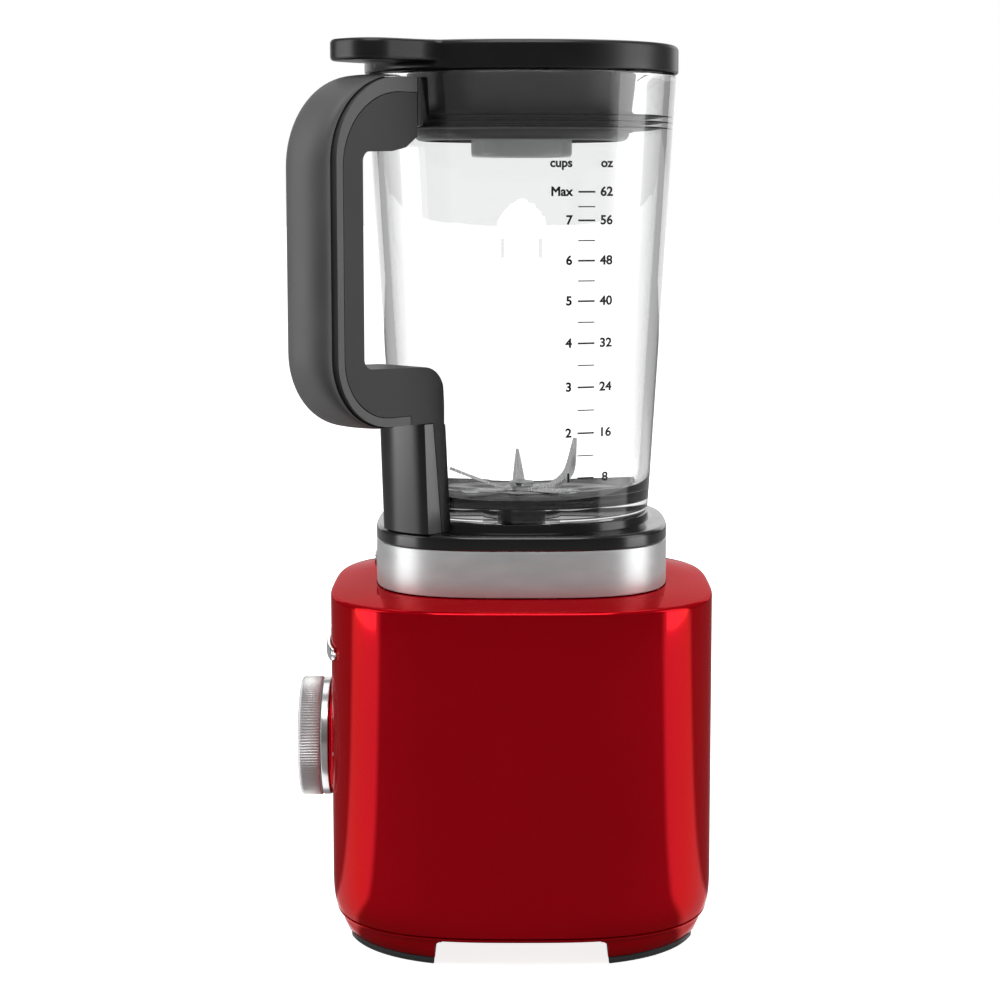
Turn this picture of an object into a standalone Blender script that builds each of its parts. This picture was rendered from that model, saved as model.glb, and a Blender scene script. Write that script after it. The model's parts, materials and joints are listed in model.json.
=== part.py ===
"""Countertop blender: a rounded-square motor base with a speed knob on its front, and a clear
jar with a corner handle, a lid and a measuring cap that lift off it one after another.

Lengths are in millimetres until they become vertices, which are in metres. The front faces -Y.
Every piece hangs from an empty on the drive axis, which the motor and the blades turn about, and
heights are measured from that empty, a little above the surface that the feet stand on.
"""
import math

import bmesh
import bpy
from mathutils import Matrix, Vector

MM = 0.001
GAP = 0.3                       # clearance between pieces that touch
SIDES = 40                      # points round a rounded-square outline
STEPS = 32                      # facets round a visible turned piece
FINE_STEPS = 48                 # facets round the knob
INNER_STEPS = 20                # facets round a hidden turned piece

# Driving sizes of the base
BASE_HALF = 89.2
BASE_POWER = 3.3
SEAM_HALF = 88.3
SEAM_POWER = 2.94
SEAM_Z = 11.0
BASE_TOP_Z = 160.1              # where the top's rounded edge ends
DOME_RISE = 2.3                 # how much higher the top is at the collar
SHELL = 3.0
GROUND_Z = -3.0
PAD_Z = 0.3
LEG_HALF = 84.8
LEG_POWER = 2.6
LEG_INNER = 39.0
LEG_FILLET = 3.2
COLLAR_HALF = 68.0
COLLAR_POWER = 3.05
COLLAR_TOP_Z = 183.7
DRIVE_HOLE = 24.0
GLAND_RADIUS = 6.5
GLAND_Z = 27.0
GLAND_REACH = 90.0
PLUNGER_RADIUS = 2.5
PLUNGER_PLACE = (0.0, 57.0)
COVER_SCREWS = {
    "cover_screw_front_right": (31, -70), "cover_screw_rear_right": (31, 70),
    "cover_screw_rear_left": (-31, 70), "cover_screw_front_left": (-31, -70),
}

# Driving sizes of the motor
SHAFT = 4.0
SHAFT_TOP_Z = 166.8
STATOR_LOW_Z = 72.0
STATOR_HIGH_Z = 112.0
HANGER_TOP = BASE_TOP_Z - 0.8 - GAP

# Driving sizes of the knob
KNOB_Z = 84.7
KNOB_RADIUS = 28.4
KNOB_FRONT = 105.1              # distance from the drive axis to the knob's face
KNOB_RING_FRONT = 94.3
KNOB_BACK = 90.6
KNOB_BOSS = 27.9                # radius of the casing's raised seat behind the knob
KNOB_SHAFT = 3.0

# Driving sizes of the jar
FOOT_Z = 184.0
FOOT_TOP_Z = 190.7
JAR_POWER = 2.33
JAR_Z = 193.4
JAR_TOP_Z = 396.2
JAR_LOW_HALF = 59.4
JAR_TOP_HALF = 71.6
JAR_WALL = 5.0
JAR_FLOOR_Z = 199.0
RIB_TOP_Z = 336.0
RIB_HALF = 9.5
BLADE_Z = 201.2
BLADE_THICK = 1.5
BLADE_BORE = 14.0               # the hole through the jar's floor
BLADE_SHAFT = 4.0

# Driving sizes of the lid
LID_HALF = 72.4
LID_RIM_Z = 397.3
LID_TOP_Z = 409.4
PLUG_Z = 366.6
PLUG_HALF = 50.4
CAP_HALF = 24.8
CAP_Z = 359.3

# Driving sizes of the handle, in its own upright plane: "out" is the distance from the drive axis
HANDLE_TURN = math.radians(-45.0)
HANDLE_HALF = 15.0
GRIP_HALF = 13.2
GRIP_OUT = 135.2
GROOVE_OUT = 126.0
SEAM_OUT = 122.2
WINDOW_OUT = 111.0
ARM_END = 79.2                  # where the upper arm meets the flange on the jar
BAND_END = 84.0
POST_SEAM = 70.5
POST_SEAM_LOW = 65.5            # the seam leans toward the jar further down
ARM_TOP_Z = 393.2
WINDOW_TOP_Z = 361.0
WINDOW_LOW_Z = 267.0
HANDLE_LOW_Z = 241.0

# The origin is under the middle of the whole object's box
HANDLE_REACH = 100.81           # how far the grip reaches along +X and along -Y
AXIS_X = (BASE_HALF - HANDLE_REACH) / 2
AXIS_Y = (KNOB_FRONT - GLAND_REACH) / 2

RED = ("red_gloss", (0.42, 0.004, 0.008), 0.18, 0.0)
SATIN = ("satin_metal", (0.62, 0.62, 0.62), 0.35, 1.0)
CHROME = ("chrome", (0.8, 0.8, 0.8), 0.08, 1.0)
BLACK = ("black_plastic", (0.016, 0.016, 0.016), 0.35, 0.0)
SOFT = ("soft_touch", (0.06, 0.06, 0.06), 0.6, 0.0)
RUBBER = ("rubber", (0.045, 0.05, 0.05), 0.8, 0.0)
CLEAR = ("clear_plastic", (0.95, 0.97, 0.97), 0.05, 0.0)
STEEL = ("steel", (0.55, 0.55, 0.55), 0.25, 1.0)
IRON = ("laminated_iron", (0.2, 0.2, 0.21), 0.5, 1.0)
COPPER = ("copper", (0.6, 0.24, 0.1), 0.35, 1.0)
CARBON = ("carbon", (0.03, 0.03, 0.03), 0.7, 0.0)
BOARD = ("circuit_board", (0.02, 0.12, 0.05), 0.5, 0.0)
WHITE = ("white_plastic", (0.7, 0.7, 0.68), 0.45, 0.0)


# ---------------------------------------------------------------- scene and materials

def empty_scene():
    for thing in list(bpy.data.objects):
        bpy.data.objects.remove(thing)


def new_collection(name):
    group = bpy.data.collections.new(name)
    bpy.context.scene.collection.children.link(group)
    return group


def new_empty(name, parent=None, place=(0, 0, 0), turn=(0, 0, 0)):
    frame = bpy.data.objects.new(name, None)
    PARTS.objects.link(frame)
    frame.parent = parent
    frame.location = Vector(place) * MM
    frame.rotation_euler = turn
    return frame


def material_of(look):
    name, colour, roughness, metallic = look
    made = bpy.data.materials.get(name)
    if made is None:
        made = bpy.data.materials.new(name)
        made.use_nodes = True
        shader = made.node_tree.nodes["Principled BSDF"]
        shader.inputs["Base Color"].default_value = (*colour, 1.0)
        shader.inputs["Roughness"].default_value = roughness
        shader.inputs["Metallic"].default_value = metallic
        made.diffuse_color = (*colour, 1.0)
    return made


def new_object(name, mesh, look, parent):
    """Link a mesh as a named part, or as a cutter where it has no look."""
    thing = bpy.data.objects.new(name, mesh)
    thing.parent = parent
    if look is None:
        CUTTERS.objects.link(thing)
        thing.hide_render = True
        thing.display_type = "WIRE"
    else:
        PARTS.objects.link(thing)
        mesh.materials.append(material_of(look))
    return thing


def mesh_from(name, shape):
    """Turn a bmesh into a mesh with its faces pointing out and its round sides smooth."""
    bmesh.ops.recalc_face_normals(shape, faces=shape.faces)
    mesh = bpy.data.meshes.new(name)
    shape.to_mesh(mesh)
    shape.free()
    mesh.shade_smooth()
    mesh.set_sharp_from_angle(angle=math.radians(35))
    return mesh


# ---------------------------------------------------------------- outlines

def superellipse(half, power, count=SIDES):
    """Points of the rounded square |x|^power + |y|^power = half^power, anticlockwise."""
    points = []
    for step in range(count):
        angle = 2 * math.pi * step / count
        across = math.copysign(abs(math.cos(angle)) ** (2 / power), math.cos(angle))
        along = math.copysign(abs(math.sin(angle)) ** (2 / power), math.sin(angle))
        points.append((half * across, half * along))
    return points


def ring(half, power, height):
    return [Vector((x, y, height)) * MM for x, y in superellipse(half, power)]


def outline_front(half, power, across):
    """How far the rounded square reaches forwards at a distance across from its middle."""
    return (half ** power - abs(across) ** power) ** (1 / power)


def rounded(corners, steps=5):
    """A closed outline from (x, y, radius) corners, each corner an arc."""
    points = []
    for index, (x, y, radius) in enumerate(corners):
        corner = Vector((x, y))
        before = (Vector(corners[index - 1][:2]) - corner).normalized()
        after = (Vector(corners[(index + 1) % len(corners)][:2]) - corner).normalized()
        if radius <= 0:
            points.append(corner)
            continue
        half_angle = before.angle(after) / 2
        reach = radius / math.tan(half_angle)
        centre = corner + (before + after).normalized() * radius / math.sin(half_angle)
        start = corner + before * reach - centre
        finish = corner + after * reach - centre
        sweep = start.angle_signed(finish)
        for step in range(steps + 1):
            points.append(centre + Matrix.Rotation(-sweep * step / steps, 2) @ start)
    return [(point.x, point.y) for point in points]


def diagonal_reach(half, power, aside):
    """Distance out along the handle's plane to a rounded square, at a distance aside from it."""
    low, high = 0.0, 2 * half
    for _ in range(40):
        out = (low + high) / 2
        first = abs(out + aside) / math.sqrt(2)
        second = abs(out - aside) / math.sqrt(2)
        if first ** power + second ** power < half ** power:
            low = out
        else:
            high = out
    return out


# ---------------------------------------------------------------- solids

def loft(name, rings, look, parent, closed=False):
    """Skin a row of rings. A closed loft returns to its first ring, an open one is capped."""
    shape = bmesh.new()
    rows = [[shape.verts.new(point) for point in points] for points in rings]
    pairs = list(zip(rows, rows[1:]))
    if closed:
        pairs.append((rows[-1], rows[0]))
    else:
        shape.faces.new(rows[0])
        shape.faces.new(rows[-1])
    for lower, upper in pairs:
        count = len(lower)
        for index in range(count):
            following = (index + 1) % count
            shape.faces.new((lower[index], lower[following], upper[following], upper[index]))
    return new_object(name, mesh_from(name, shape), look, parent)


def turned(name, profile, look, parent, steps=STEPS, closed=False):
    """Turn a profile of (radius, height) points, listed down its outer side, about Z."""
    mesh = bpy.data.meshes.new(name)
    points = [(radius * MM, 0, height * MM) for radius, height in profile]
    edges = [(index, index + 1) for index in range(len(points) - 1)]
    if closed:
        edges.append((len(points) - 1, 0))
    mesh.from_pydata(points, edges, [])
    thing = new_object(name, mesh, look, parent)
    screw = thing.modifiers.new("turn", "SCREW")
    screw.steps = steps
    screw.render_steps = steps
    screw.use_merge_vertices = True
    screw.merge_threshold = 0.00001
    screw.use_smooth_shade = True
    return thing


def tube(name, inner, outer, low, high, look, parent, steps=STEPS):
    profile = [(inner, high), (outer, high), (outer, low), (inner, low)]
    return turned(name, profile, look, parent, steps, closed=True)


def rod(name, radius, low, high, look, parent, steps=STEPS):
    profile = [(0, high), (radius, high), (radius, low), (0, low)]
    return turned(name, profile, look, parent, steps)


def prism(name, outline, low, high, look, parent, bevel=0.0, segments=2, upright=False):
    """Extrude a flat outline from low to high: along Z, or along Y where it stands upright."""
    shape = bmesh.new()
    if upright:
        points = [Vector((x, low, y)) * MM for x, y in outline]
        travel = Vector((0, high - low, 0)) * MM
    else:
        points = [Vector((x, y, low)) * MM for x, y in outline]
        travel = Vector((0, 0, high - low)) * MM
    face = shape.faces.new([shape.verts.new(point) for point in points])
    grown = bmesh.ops.extrude_face_region(shape, geom=[face])
    tops = [item for item in grown["geom"] if isinstance(item, bmesh.types.BMVert)]
    bmesh.ops.translate(shape, verts=tops, vec=travel)
    thing = new_object(name, mesh_from(name, shape), look, parent)
    if bevel:
        round_edges(thing, bevel, segments)
    return thing


def round_edges(thing, width, segments=2):
    edges = thing.modifiers.new("round edges", "BEVEL")
    edges.width = width * MM
    edges.segments = segments
    edges.limit_method = "ANGLE"
    edges.angle_limit = math.radians(50)
    edges.use_clamp_overlap = True


def box(name, low, high, look, parent, bevel=0.0):
    outline = [(low[0], low[1]), (high[0], low[1]), (high[0], high[1]), (low[0], high[1])]
    return prism(name, outline, low[2], high[2], look, parent, bevel, 1)


def cylinder_at(name, radius, low, high, place, look, parent, steps=INNER_STEPS):
    """A cylinder along Z whose axis stands at (x, y)."""
    points = []
    for step in range(steps):
        angle = 2 * math.pi * step / steps
        points.append((place[0] + radius * math.cos(angle), place[1] + radius * math.sin(angle)))
    return prism(name, points, low, high, look, parent)


def boolean(target, tool, operation):
    step = target.modifiers.new(operation.lower(), "BOOLEAN")
    step.operation = operation
    step.object = tool
    step.solver = "EXACT"


def cut(target, tool):
    boolean(target, tool, "DIFFERENCE")


def join(target, tool):
    boolean(target, tool, "UNION")


# ---------------------------------------------------------------- base

def base_housing():
    """The painted casing: side walls and top in one shell, open below, with a drive hole."""
    top = BASE_TOP_Z
    dome = top + DOME_RISE
    outside = [
        ring(SEAM_HALF, SEAM_POWER, SEAM_Z + GAP),
        ring(BASE_HALF - 0.2, BASE_POWER - 0.15, SEAM_Z + 9),
        ring(BASE_HALF, BASE_POWER, SEAM_Z + 40),
        ring(BASE_HALF, BASE_POWER, top - 1.8),
        ring(BASE_HALF - 0.5, BASE_POWER, top - 0.6),
        ring(BASE_HALF - 1.9, BASE_POWER, top),
        ring(BASE_HALF - 10, BASE_POWER - 0.1, top + 1.4),
        ring(COLLAR_HALF + 2, COLLAR_POWER, dome),
    ]
    inside = [
        ring(DRIVE_HOLE, 2, dome),
        ring(DRIVE_HOLE, 2, top - 0.8),
        ring(COLLAR_HALF, COLLAR_POWER, top - 0.8),
        ring(BASE_HALF - SHELL - 2, BASE_POWER, top - SHELL),
        ring(BASE_HALF - SHELL, BASE_POWER, top - SHELL - 3),
        ring(BASE_HALF - SHELL, BASE_POWER, SEAM_Z + 40),
        ring(SEAM_HALF - SHELL, SEAM_POWER, SEAM_Z + GAP),
    ]
    housing = loft("base_housing", outside + inside, RED, AXIS, closed=True)
    boss = cylinder_at("knob_boss", KNOB_BOSS, BASE_HALF - 1.7, KNOB_BACK - GAP, (0, 0), None, KNOB_AXIS, STEPS)
    join(housing, boss)
    cut(housing, rod("knob_hole", KNOB_SHAFT + 2, KNOB_BACK - 20, KNOB_BACK + 2, None, KNOB_AXIS))
    cut(housing, rod("gland_hole", GLAND_RADIUS + GAP, -GLAND_REACH, 20 - GLAND_REACH, None, GLAND_AXIS))
    cut(housing, cylinder_at("plunger_hole", PLUNGER_RADIUS + 0.6, 150, 166, PLUNGER_PLACE, None, AXIS))


def corner_outline(half, power, inner, turn):
    """The corner of a rounded square beyond a distance inner from both middle lines."""
    count = 8
    reach = outline_front(half, power, inner)
    start = math.atan2(inner, reach)
    finish = math.pi / 2 - start
    points = [(inner + 4, inner), (inner, inner + 4)]
    arc = []
    for step in range(count + 1):
        angle = start + (finish - start) * step / count
        scale = (math.cos(angle) ** power + math.sin(angle) ** power) ** (-1 / power)
        arc.append((half * scale * math.cos(angle), half * scale * math.sin(angle)))
    outline = [points[0]] + arc + [points[1]]
    cosine, sine = round(math.cos(turn)), round(math.sin(turn))
    return [(x * cosine - y * sine, x * sine + y * cosine) for x, y in outline]


def leg_ring(half, power, inner, height, turn):
    return [Vector((x, y, height)) * MM for x, y in corner_outline(half, power, inner, turn)]


def base_bottom():
    """The lower cover with four legs, cooling slots and a lip inside the housing."""
    low = SEAM_Z - 1.9
    cover = loft("base_bottom", [
        ring(SEAM_HALF - 2.6, SEAM_POWER, low),
        ring(SEAM_HALF - 0.5, SEAM_POWER, low + 0.8),
        ring(SEAM_HALF, SEAM_POWER, SEAM_Z),
        ring(SEAM_HALF - SHELL - GAP, SEAM_POWER, SEAM_Z),
        ring(SEAM_HALF - SHELL - GAP, SEAM_POWER, SEAM_Z + 6),
        ring(SEAM_HALF - SHELL - 2, SEAM_POWER, SEAM_Z + 6),
        ring(SEAM_HALF - SHELL - 2, SEAM_POWER, SEAM_Z + 0.6),
    ], RED, AXIS)
    names = ("foot_front_right", "foot_rear_right", "foot_rear_left", "foot_front_left")
    for index, name in enumerate(names):
        turn = (index - 1) * math.pi / 2
        legs = [
            leg_ring(LEG_HALF, LEG_POWER, LEG_INNER, PAD_Z + GAP, turn),
            leg_ring(LEG_HALF + 1.2, LEG_POWER + 0.2, LEG_INNER, low - LEG_FILLET, turn),
            leg_ring(SEAM_HALF - 1.4, SEAM_POWER, LEG_INNER - LEG_FILLET * 0.3, low - LEG_FILLET * 0.3, turn),
            leg_ring(SEAM_HALF - 1.6, SEAM_POWER, LEG_INNER - LEG_FILLET, low, turn),
            leg_ring(SEAM_HALF - 1.6, SEAM_POWER, LEG_INNER - LEG_FILLET, low + 0.9, turn),
        ]
        join(cover, loft("leg_" + name, legs, None, AXIS))
        pad = corner_outline(LEG_HALF - 0.6, LEG_POWER, LEG_INNER + 0.5, turn)
        prism(name, pad, GROUND_Z, PAD_Z, RUBBER, AXIS, 0.6, 1)
    for index in range(-4, 5):
        x = 9.0 * index
        cut(cover, box("cooling_slot", (x - 2, -26, low - 2), (x + 2, 26, SEAM_Z + 3), None, AXIS))
    for name, place in COVER_SCREWS.items():
        cut(cover, cylinder_at(name + "_hole", 3.2, low - 2, SEAM_Z + 3, place, None, AXIS, 12))
        cylinder_at(name, 2.8, low + 0.3, SEAM_Z + 5, place, STEEL, AXIS, 12)


def collar_and_seat():
    """The satin collar that the jar stands on, and the black well inside it."""
    low = BASE_TOP_Z + DOME_RISE + GAP
    loft("collar", [
        ring(COLLAR_HALF, COLLAR_POWER, low),
        ring(COLLAR_HALF, COLLAR_POWER, COLLAR_TOP_Z - 0.6),
        ring(COLLAR_HALF - 0.6, COLLAR_POWER, COLLAR_TOP_Z),
        ring(COLLAR_HALF - 3.4, COLLAR_POWER, COLLAR_TOP_Z),
        ring(COLLAR_HALF - 3.4, COLLAR_POWER, low),
    ], SATIN, AXIS, closed=True)
    pad_half = COLLAR_HALF - 3.4 - GAP
    pad = loft("seat_well", [
        ring(pad_half, COLLAR_POWER, low),
        ring(pad_half, COLLAR_POWER, COLLAR_TOP_Z - 2),
        ring(pad_half - 2, COLLAR_POWER, COLLAR_TOP_Z - 2),
        ring(pad_half - 2, COLLAR_POWER, low + 4),
        ring(DRIVE_HOLE - 2, 2, low + 4),
        ring(DRIVE_HOLE - 2, 2, low),
    ], BLACK, AXIS, closed=True)
    cut(pad, cylinder_at("plunger_slot", PLUNGER_RADIUS + 0.6, 150, 175, PLUNGER_PLACE, None, AXIS))


def arc_plate(name, half, power, centre_z, width, height, low, high, look):
    """A plate that follows the front of a rounded square, from low to high above its surface."""
    steps = 14
    rows = []
    for reach in (low, high):
        taper = 0.6 if reach == high else 0.0
        for side in (-1, 1):
            z = centre_z + side * (height / 2 - taper)
            row = []
            for step in range(steps + 1):
                x = (width / 2 - taper) * (2 * step / steps - 1)
                row.append(Vector((x, -outline_front(half, power, x) - reach, z)) * MM)
            rows.append(row)
    inner_low, inner_high, outer_low, outer_high = rows
    slices = zip(inner_low, outer_low, outer_high, inner_high)
    return loft(name, [list(points) for points in slices], look, AXIS)


def cord_gland():
    """The inlet for the mains lead, low on the back."""
    reach = GLAND_REACH
    turned("cord_gland", [
        (3.6, -BASE_HALF + 12), (GLAND_RADIUS, -BASE_HALF + 12), (GLAND_RADIUS, -BASE_HALF - 0.2 + GAP),
        (GLAND_RADIUS, -BASE_HALF - GAP), (GLAND_RADIUS + 3, -BASE_HALF - GAP),
        (GLAND_RADIUS + 3, -reach + 0.5), (GLAND_RADIUS + 2.5, -reach), (3.6, -reach),
    ], BLACK, GLAND_AXIS, 24, closed=True)


# ---------------------------------------------------------------- knob and controls

def knob():
    turned("knob_grip", [
        (0, KNOB_FRONT - 0.8), (KNOB_RADIUS - 5, KNOB_FRONT - 0.8), (KNOB_RADIUS - 4, KNOB_FRONT),
        (KNOB_RADIUS - 0.8, KNOB_FRONT), (KNOB_RADIUS, KNOB_FRONT - 0.8),
        (KNOB_RADIUS, KNOB_RING_FRONT + GAP), (KNOB_SHAFT + 3, KNOB_RING_FRONT + GAP),
        (KNOB_SHAFT + GAP, KNOB_RING_FRONT + GAP), (KNOB_SHAFT + GAP, KNOB_FRONT - 4),
        (0, KNOB_FRONT - 4),
    ], SATIN, KNOB_AXIS, FINE_STEPS)
    bore = KNOB_SHAFT + GAP
    tube("knob_ring", bore, KNOB_RADIUS, KNOB_BACK, KNOB_RING_FRONT, CHROME, KNOB_AXIS, FINE_STEPS)
    rod("knob_shaft", KNOB_SHAFT, BASE_HALF - 19, KNOB_FRONT - 4 - GAP, STEEL, KNOB_AXIS, INNER_STEPS)
    encoder = box("speed_control", (-11, -11, BASE_HALF - 20), (11, 11, BASE_HALF - 9), WHITE, KNOB_AXIS, 1)
    cut(encoder, rod("encoder_bore", KNOB_SHAFT + 0.4, BASE_HALF - 19.4, BASE_HALF, None, KNOB_AXIS))
    back = BASE_HALF - 20 - GAP
    board = box("control_board", (-34, -30, back - 1.6), (34, 30, back), BOARD, KNOB_AXIS)
    join(board, box("capacitor", (-28, -24, back - 13), (-10, -8, back - 1), None, KNOB_AXIS))
    join(board, box("heat_sink", (4, -22, back - 10), (24, -6, back - 1), None, KNOB_AXIS))
    join(board, box("relay", (-26, 8, back - 9), (-8, 22, back - 1), None, KNOB_AXIS))


# ---------------------------------------------------------------- motor

def motor():
    tube("lower_bearing", SHAFT + 0.05, 11.0, 39, 46, STEEL, AXIS, INNER_STEPS)
    tube("upper_bearing", SHAFT + 0.05, 11.0, 118, 125, STEEL, AXIS, INNER_STEPS)
    for name, low, high in (("lower_bracket", 37, 46), ("upper_bracket", 118, 127)):
        outline = rounded([(48, 18, 5), (-48, 18, 5), (-48, -18, 5), (48, -18, 5)], 2)
        bracket = prism(name, outline, low, high, SATIN, AXIS)
        cut(bracket, rod(name + "_bore", 11.0 + GAP, low - 1, high + 1, None, AXIS, INNER_STEPS))
        for x in (-42, 42):
            cut(bracket, cylinder_at(name + "_hole", 2.8, low - 1, high + 1, (x, 0), None, AXIS, 12))
            if name == "upper_bracket":
                for y in (-12, 12):
                    join(bracket, cylinder_at("hanger", 4, high - 2, HANGER_TOP, (x, y), None, AXIS, 12))
    for name, x in (("motor_bolt_left", -42), ("motor_bolt_right", 42)):
        cylinder_at(name, 2.4, 34, 130, (x, 0), STEEL, AXIS, 12)
    stator = prism("stator", rounded([(38, 38, 9), (-38, 38, 9), (-38, -38, 9), (38, -38, 9)], 3),
                   STATOR_LOW_Z, STATOR_HIGH_Z, IRON, AXIS)
    bore = rod("stator_bore", 22.5, STATOR_LOW_Z - 1, STATOR_HIGH_Z + 1, None, AXIS, INNER_STEPS)
    cut(stator, bore)
    for name, side in (("field_winding_front", -1), ("field_winding_rear", 1)):
        near, far = side * 25, side * 36
        outline = rounded([(20, near, 3), (20, far, 3), (-20, far, 3), (-20, near, 3)], 2)
        prism(name, outline, STATOR_HIGH_Z + GAP, STATOR_HIGH_Z + 5, COPPER, AXIS)
    rod("motor_shaft", SHAFT, 33, SHAFT_TOP_Z, STEEL, AXIS, INNER_STEPS)
    bore = SHAFT + GAP
    tube("armature", bore, 21.8, 73, 111, IRON, AXIS, INNER_STEPS)
    tube("commutator", bore, 11, 53, 67, COPPER, AXIS, INNER_STEPS)
    fan = tube("cooling_fan", bore, 34, 131, 133, WHITE, AXIS, INNER_STEPS)
    for index in range(9):
        angle = 2 * math.pi * index / 9
        blade = box("fan_blade", (12, -0.9, 132.5), (33, 0.9, 141), None, AXIS)
        blade.rotation_euler = (0, 0, angle)
        join(fan, blade)
    for name, side in (("brush_front", -1), ("brush_rear", 1)):
        low, high = sorted((side * 11.4, side * 24))
        box(name, (-3, low, 57), (3, high, 63), CARBON, AXIS)
    for name, side in (("brush_holder_front", -1), ("brush_holder_rear", 1)):
        low, high = sorted((side * 14, side * 33))
        holder = box(name, (-6, low, 54), (6, high, 66), BLACK, AXIS)
        low, high = sorted((side * 13, side * 30))
        cut(holder, box(name + "_slot", (-3.3, low, 56.7), (3.3, high, 63.3), None, AXIS))


def drive():
    """The motor's coupling: a cup with a six-sided socket for the jar's coupling."""
    low = BASE_TOP_Z + 1.2
    cup = turned("drive_coupling", [
        (0, low + 14), (15, low + 14), (16, low + 13), (16, low + 1), (11, low), (0, low),
    ], BLACK, AXIS)
    socket = [(9.2 * math.cos(math.pi * k / 3), 9.2 * math.sin(math.pi * k / 3)) for k in range(6)]
    cut(cup, prism("coupling_socket", socket, low + 6, low + 16, None, AXIS))
    cut(cup, rod("coupling_bore", SHAFT + GAP, low - 1, low + 8, None, AXIS, INNER_STEPS))


def plunger():
    """The pin that the seated jar presses, and the switch under it."""
    x, y = PLUNGER_PLACE
    cylinder_at("jar_switch_plunger", PLUNGER_RADIUS, 146, FOOT_Z - 14 - GAP, (x, y), WHITE, AXIS, 16)
    box("jar_switch", (x - 10, y - 5, 134), (x + 10, y + 5, 145.7), BLACK, AXIS, 1)


# ---------------------------------------------------------------- jar

def jar_half(height):
    """Half the jar's outer width at a height: the wall leans out evenly."""
    part = (height - JAR_Z) / (JAR_TOP_Z - JAR_Z)
    return JAR_LOW_HALF + (JAR_TOP_HALF - JAR_LOW_HALF) * part


def jar():
    floor = JAR_FLOOR_Z
    hole = BLADE_BORE
    body = loft("jar", [
        ring(hole, 2, JAR_Z),
        ring(jar_half(JAR_Z) - 3.4, JAR_POWER, JAR_Z),
        ring(jar_half(JAR_Z) - 1.0, JAR_POWER, JAR_Z + 1.2),
        ring(jar_half(JAR_Z + 4), JAR_POWER, JAR_Z + 4),
        ring(jar_half(JAR_TOP_Z), JAR_POWER, JAR_TOP_Z - 1),
        ring(jar_half(JAR_TOP_Z) - 0.8, JAR_POWER, JAR_TOP_Z),
        ring(jar_half(JAR_TOP_Z) - JAR_WALL + 0.6, JAR_POWER, JAR_TOP_Z),
        ring(jar_half(JAR_TOP_Z) - JAR_WALL, JAR_POWER, JAR_TOP_Z - 1),
        ring(jar_half(floor + 18) - JAR_WALL, JAR_POWER, floor + 18),
        ring(jar_half(floor + 10) - JAR_WALL - 1.4, JAR_POWER, floor + 10),
        ring(jar_half(floor + 5) - JAR_WALL - 5.5, JAR_POWER, floor + 5),
        ring(44, JAR_POWER, floor + 1.6),
        ring(30, 2, floor),
        ring(hole, 2, floor),
    ], CLEAR, AXIS, closed=True)
    lean = math.atan((jar_half(300) - jar_half(220)) / 80)
    middle = (floor + 8 + RIB_TOP_Z) / 2
    rib = rod("rib_cutter", 1.0, -0.5, 0.5, None, AXIS, 16)
    rib.matrix_basis = (
        Matrix.Rotation(math.pi, 4, "Z")
        @ Matrix.Translation(Vector((jar_half(middle) - JAR_WALL + 0.3, 0, middle)) * MM)
        @ Matrix.Rotation(lean, 4, "Y")
        @ Matrix.Diagonal((1.5, RIB_HALF, RIB_TOP_Z - floor - 8, 1))
    )
    join(body, rib)


def jar_foot():
    """The black foot: a flange flush with the collar, a seat under the jar and a locating skirt."""
    top = FOOT_TOP_Z
    skirt = COLLAR_HALF - 9.5
    loft("jar_foot", [
        ring(skirt, COLLAR_POWER, FOOT_Z - 14),
        ring(skirt, COLLAR_POWER, FOOT_Z),
        ring(COLLAR_HALF - 0.4, COLLAR_POWER, FOOT_Z),
        ring(COLLAR_HALF, COLLAR_POWER, FOOT_Z + 0.6),
        ring(COLLAR_HALF, COLLAR_POWER, top - 1.4),
        ring(COLLAR_HALF - 0.5, COLLAR_POWER, top - 0.4),
        ring(COLLAR_HALF - 1.6, COLLAR_POWER, top),
        ring(JAR_LOW_HALF - 2.4, JAR_POWER, top),
        ring(JAR_LOW_HALF - 3.6, JAR_POWER, JAR_Z - GAP),
        ring(30, 2, JAR_Z - GAP),
        ring(30, 2, JAR_Z - 5),
        ring(skirt - 3, COLLAR_POWER, JAR_Z - 5 - 2),
        ring(skirt - 3, COLLAR_POWER, FOOT_Z - 14),
    ], BLACK, AXIS, closed=True)


def blade_bearing():
    """The flanged bearing that carries the blades, clamped through the floor of the jar."""
    floor = JAR_FLOOR_Z
    neck = BLADE_BORE - GAP
    turned("blade_bearing", [
        (BLADE_SHAFT + 0.05, floor + 1.9), (9, floor + 1.9), (11, floor + 1.6), (20, floor + 1.2),
        (21, floor + 0.8), (21, floor + GAP), (neck, floor + GAP), (neck, 182), (BLADE_SHAFT + 0.05, 182),
    ], STEEL, AXIS, closed=True)
    tube("blade_seal", BLADE_BORE, 24, 190.4, JAR_Z - GAP, RUBBER, AXIS)
    turned("blade_clamp_nut", [
        (BLADE_BORE, 190.1), (25, 190.1), (25, 187), (20, 183), (BLADE_BORE, 183),
    ], BLACK, AXIS, closed=True)


def blade(name, arms, low):
    """A pair of sharpened arms. Each arm is a list of (out, rise, half width) stations."""
    made = rod(name, 8.0, low, low + BLADE_THICK, STEEL, AXIS, 16)
    for turn, stations in arms:
        rings = []
        for out, rise, half in stations:
            corners = ((-half, 0), (half, 0), (half, BLADE_THICK), (-half, BLADE_THICK))
            rings.append([Vector((out, y, low + 0.01 + rise + z)) * MM for y, z in corners])
        arm = loft(name + "_arm", rings, None, AXIS)
        arm.rotation_euler = (0, 0, math.radians(turn))
        join(made, arm)
    cut(made, rod(name + "_bore", BLADE_SHAFT + GAP, low - 1, low + 3, None, AXIS, 16))


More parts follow.
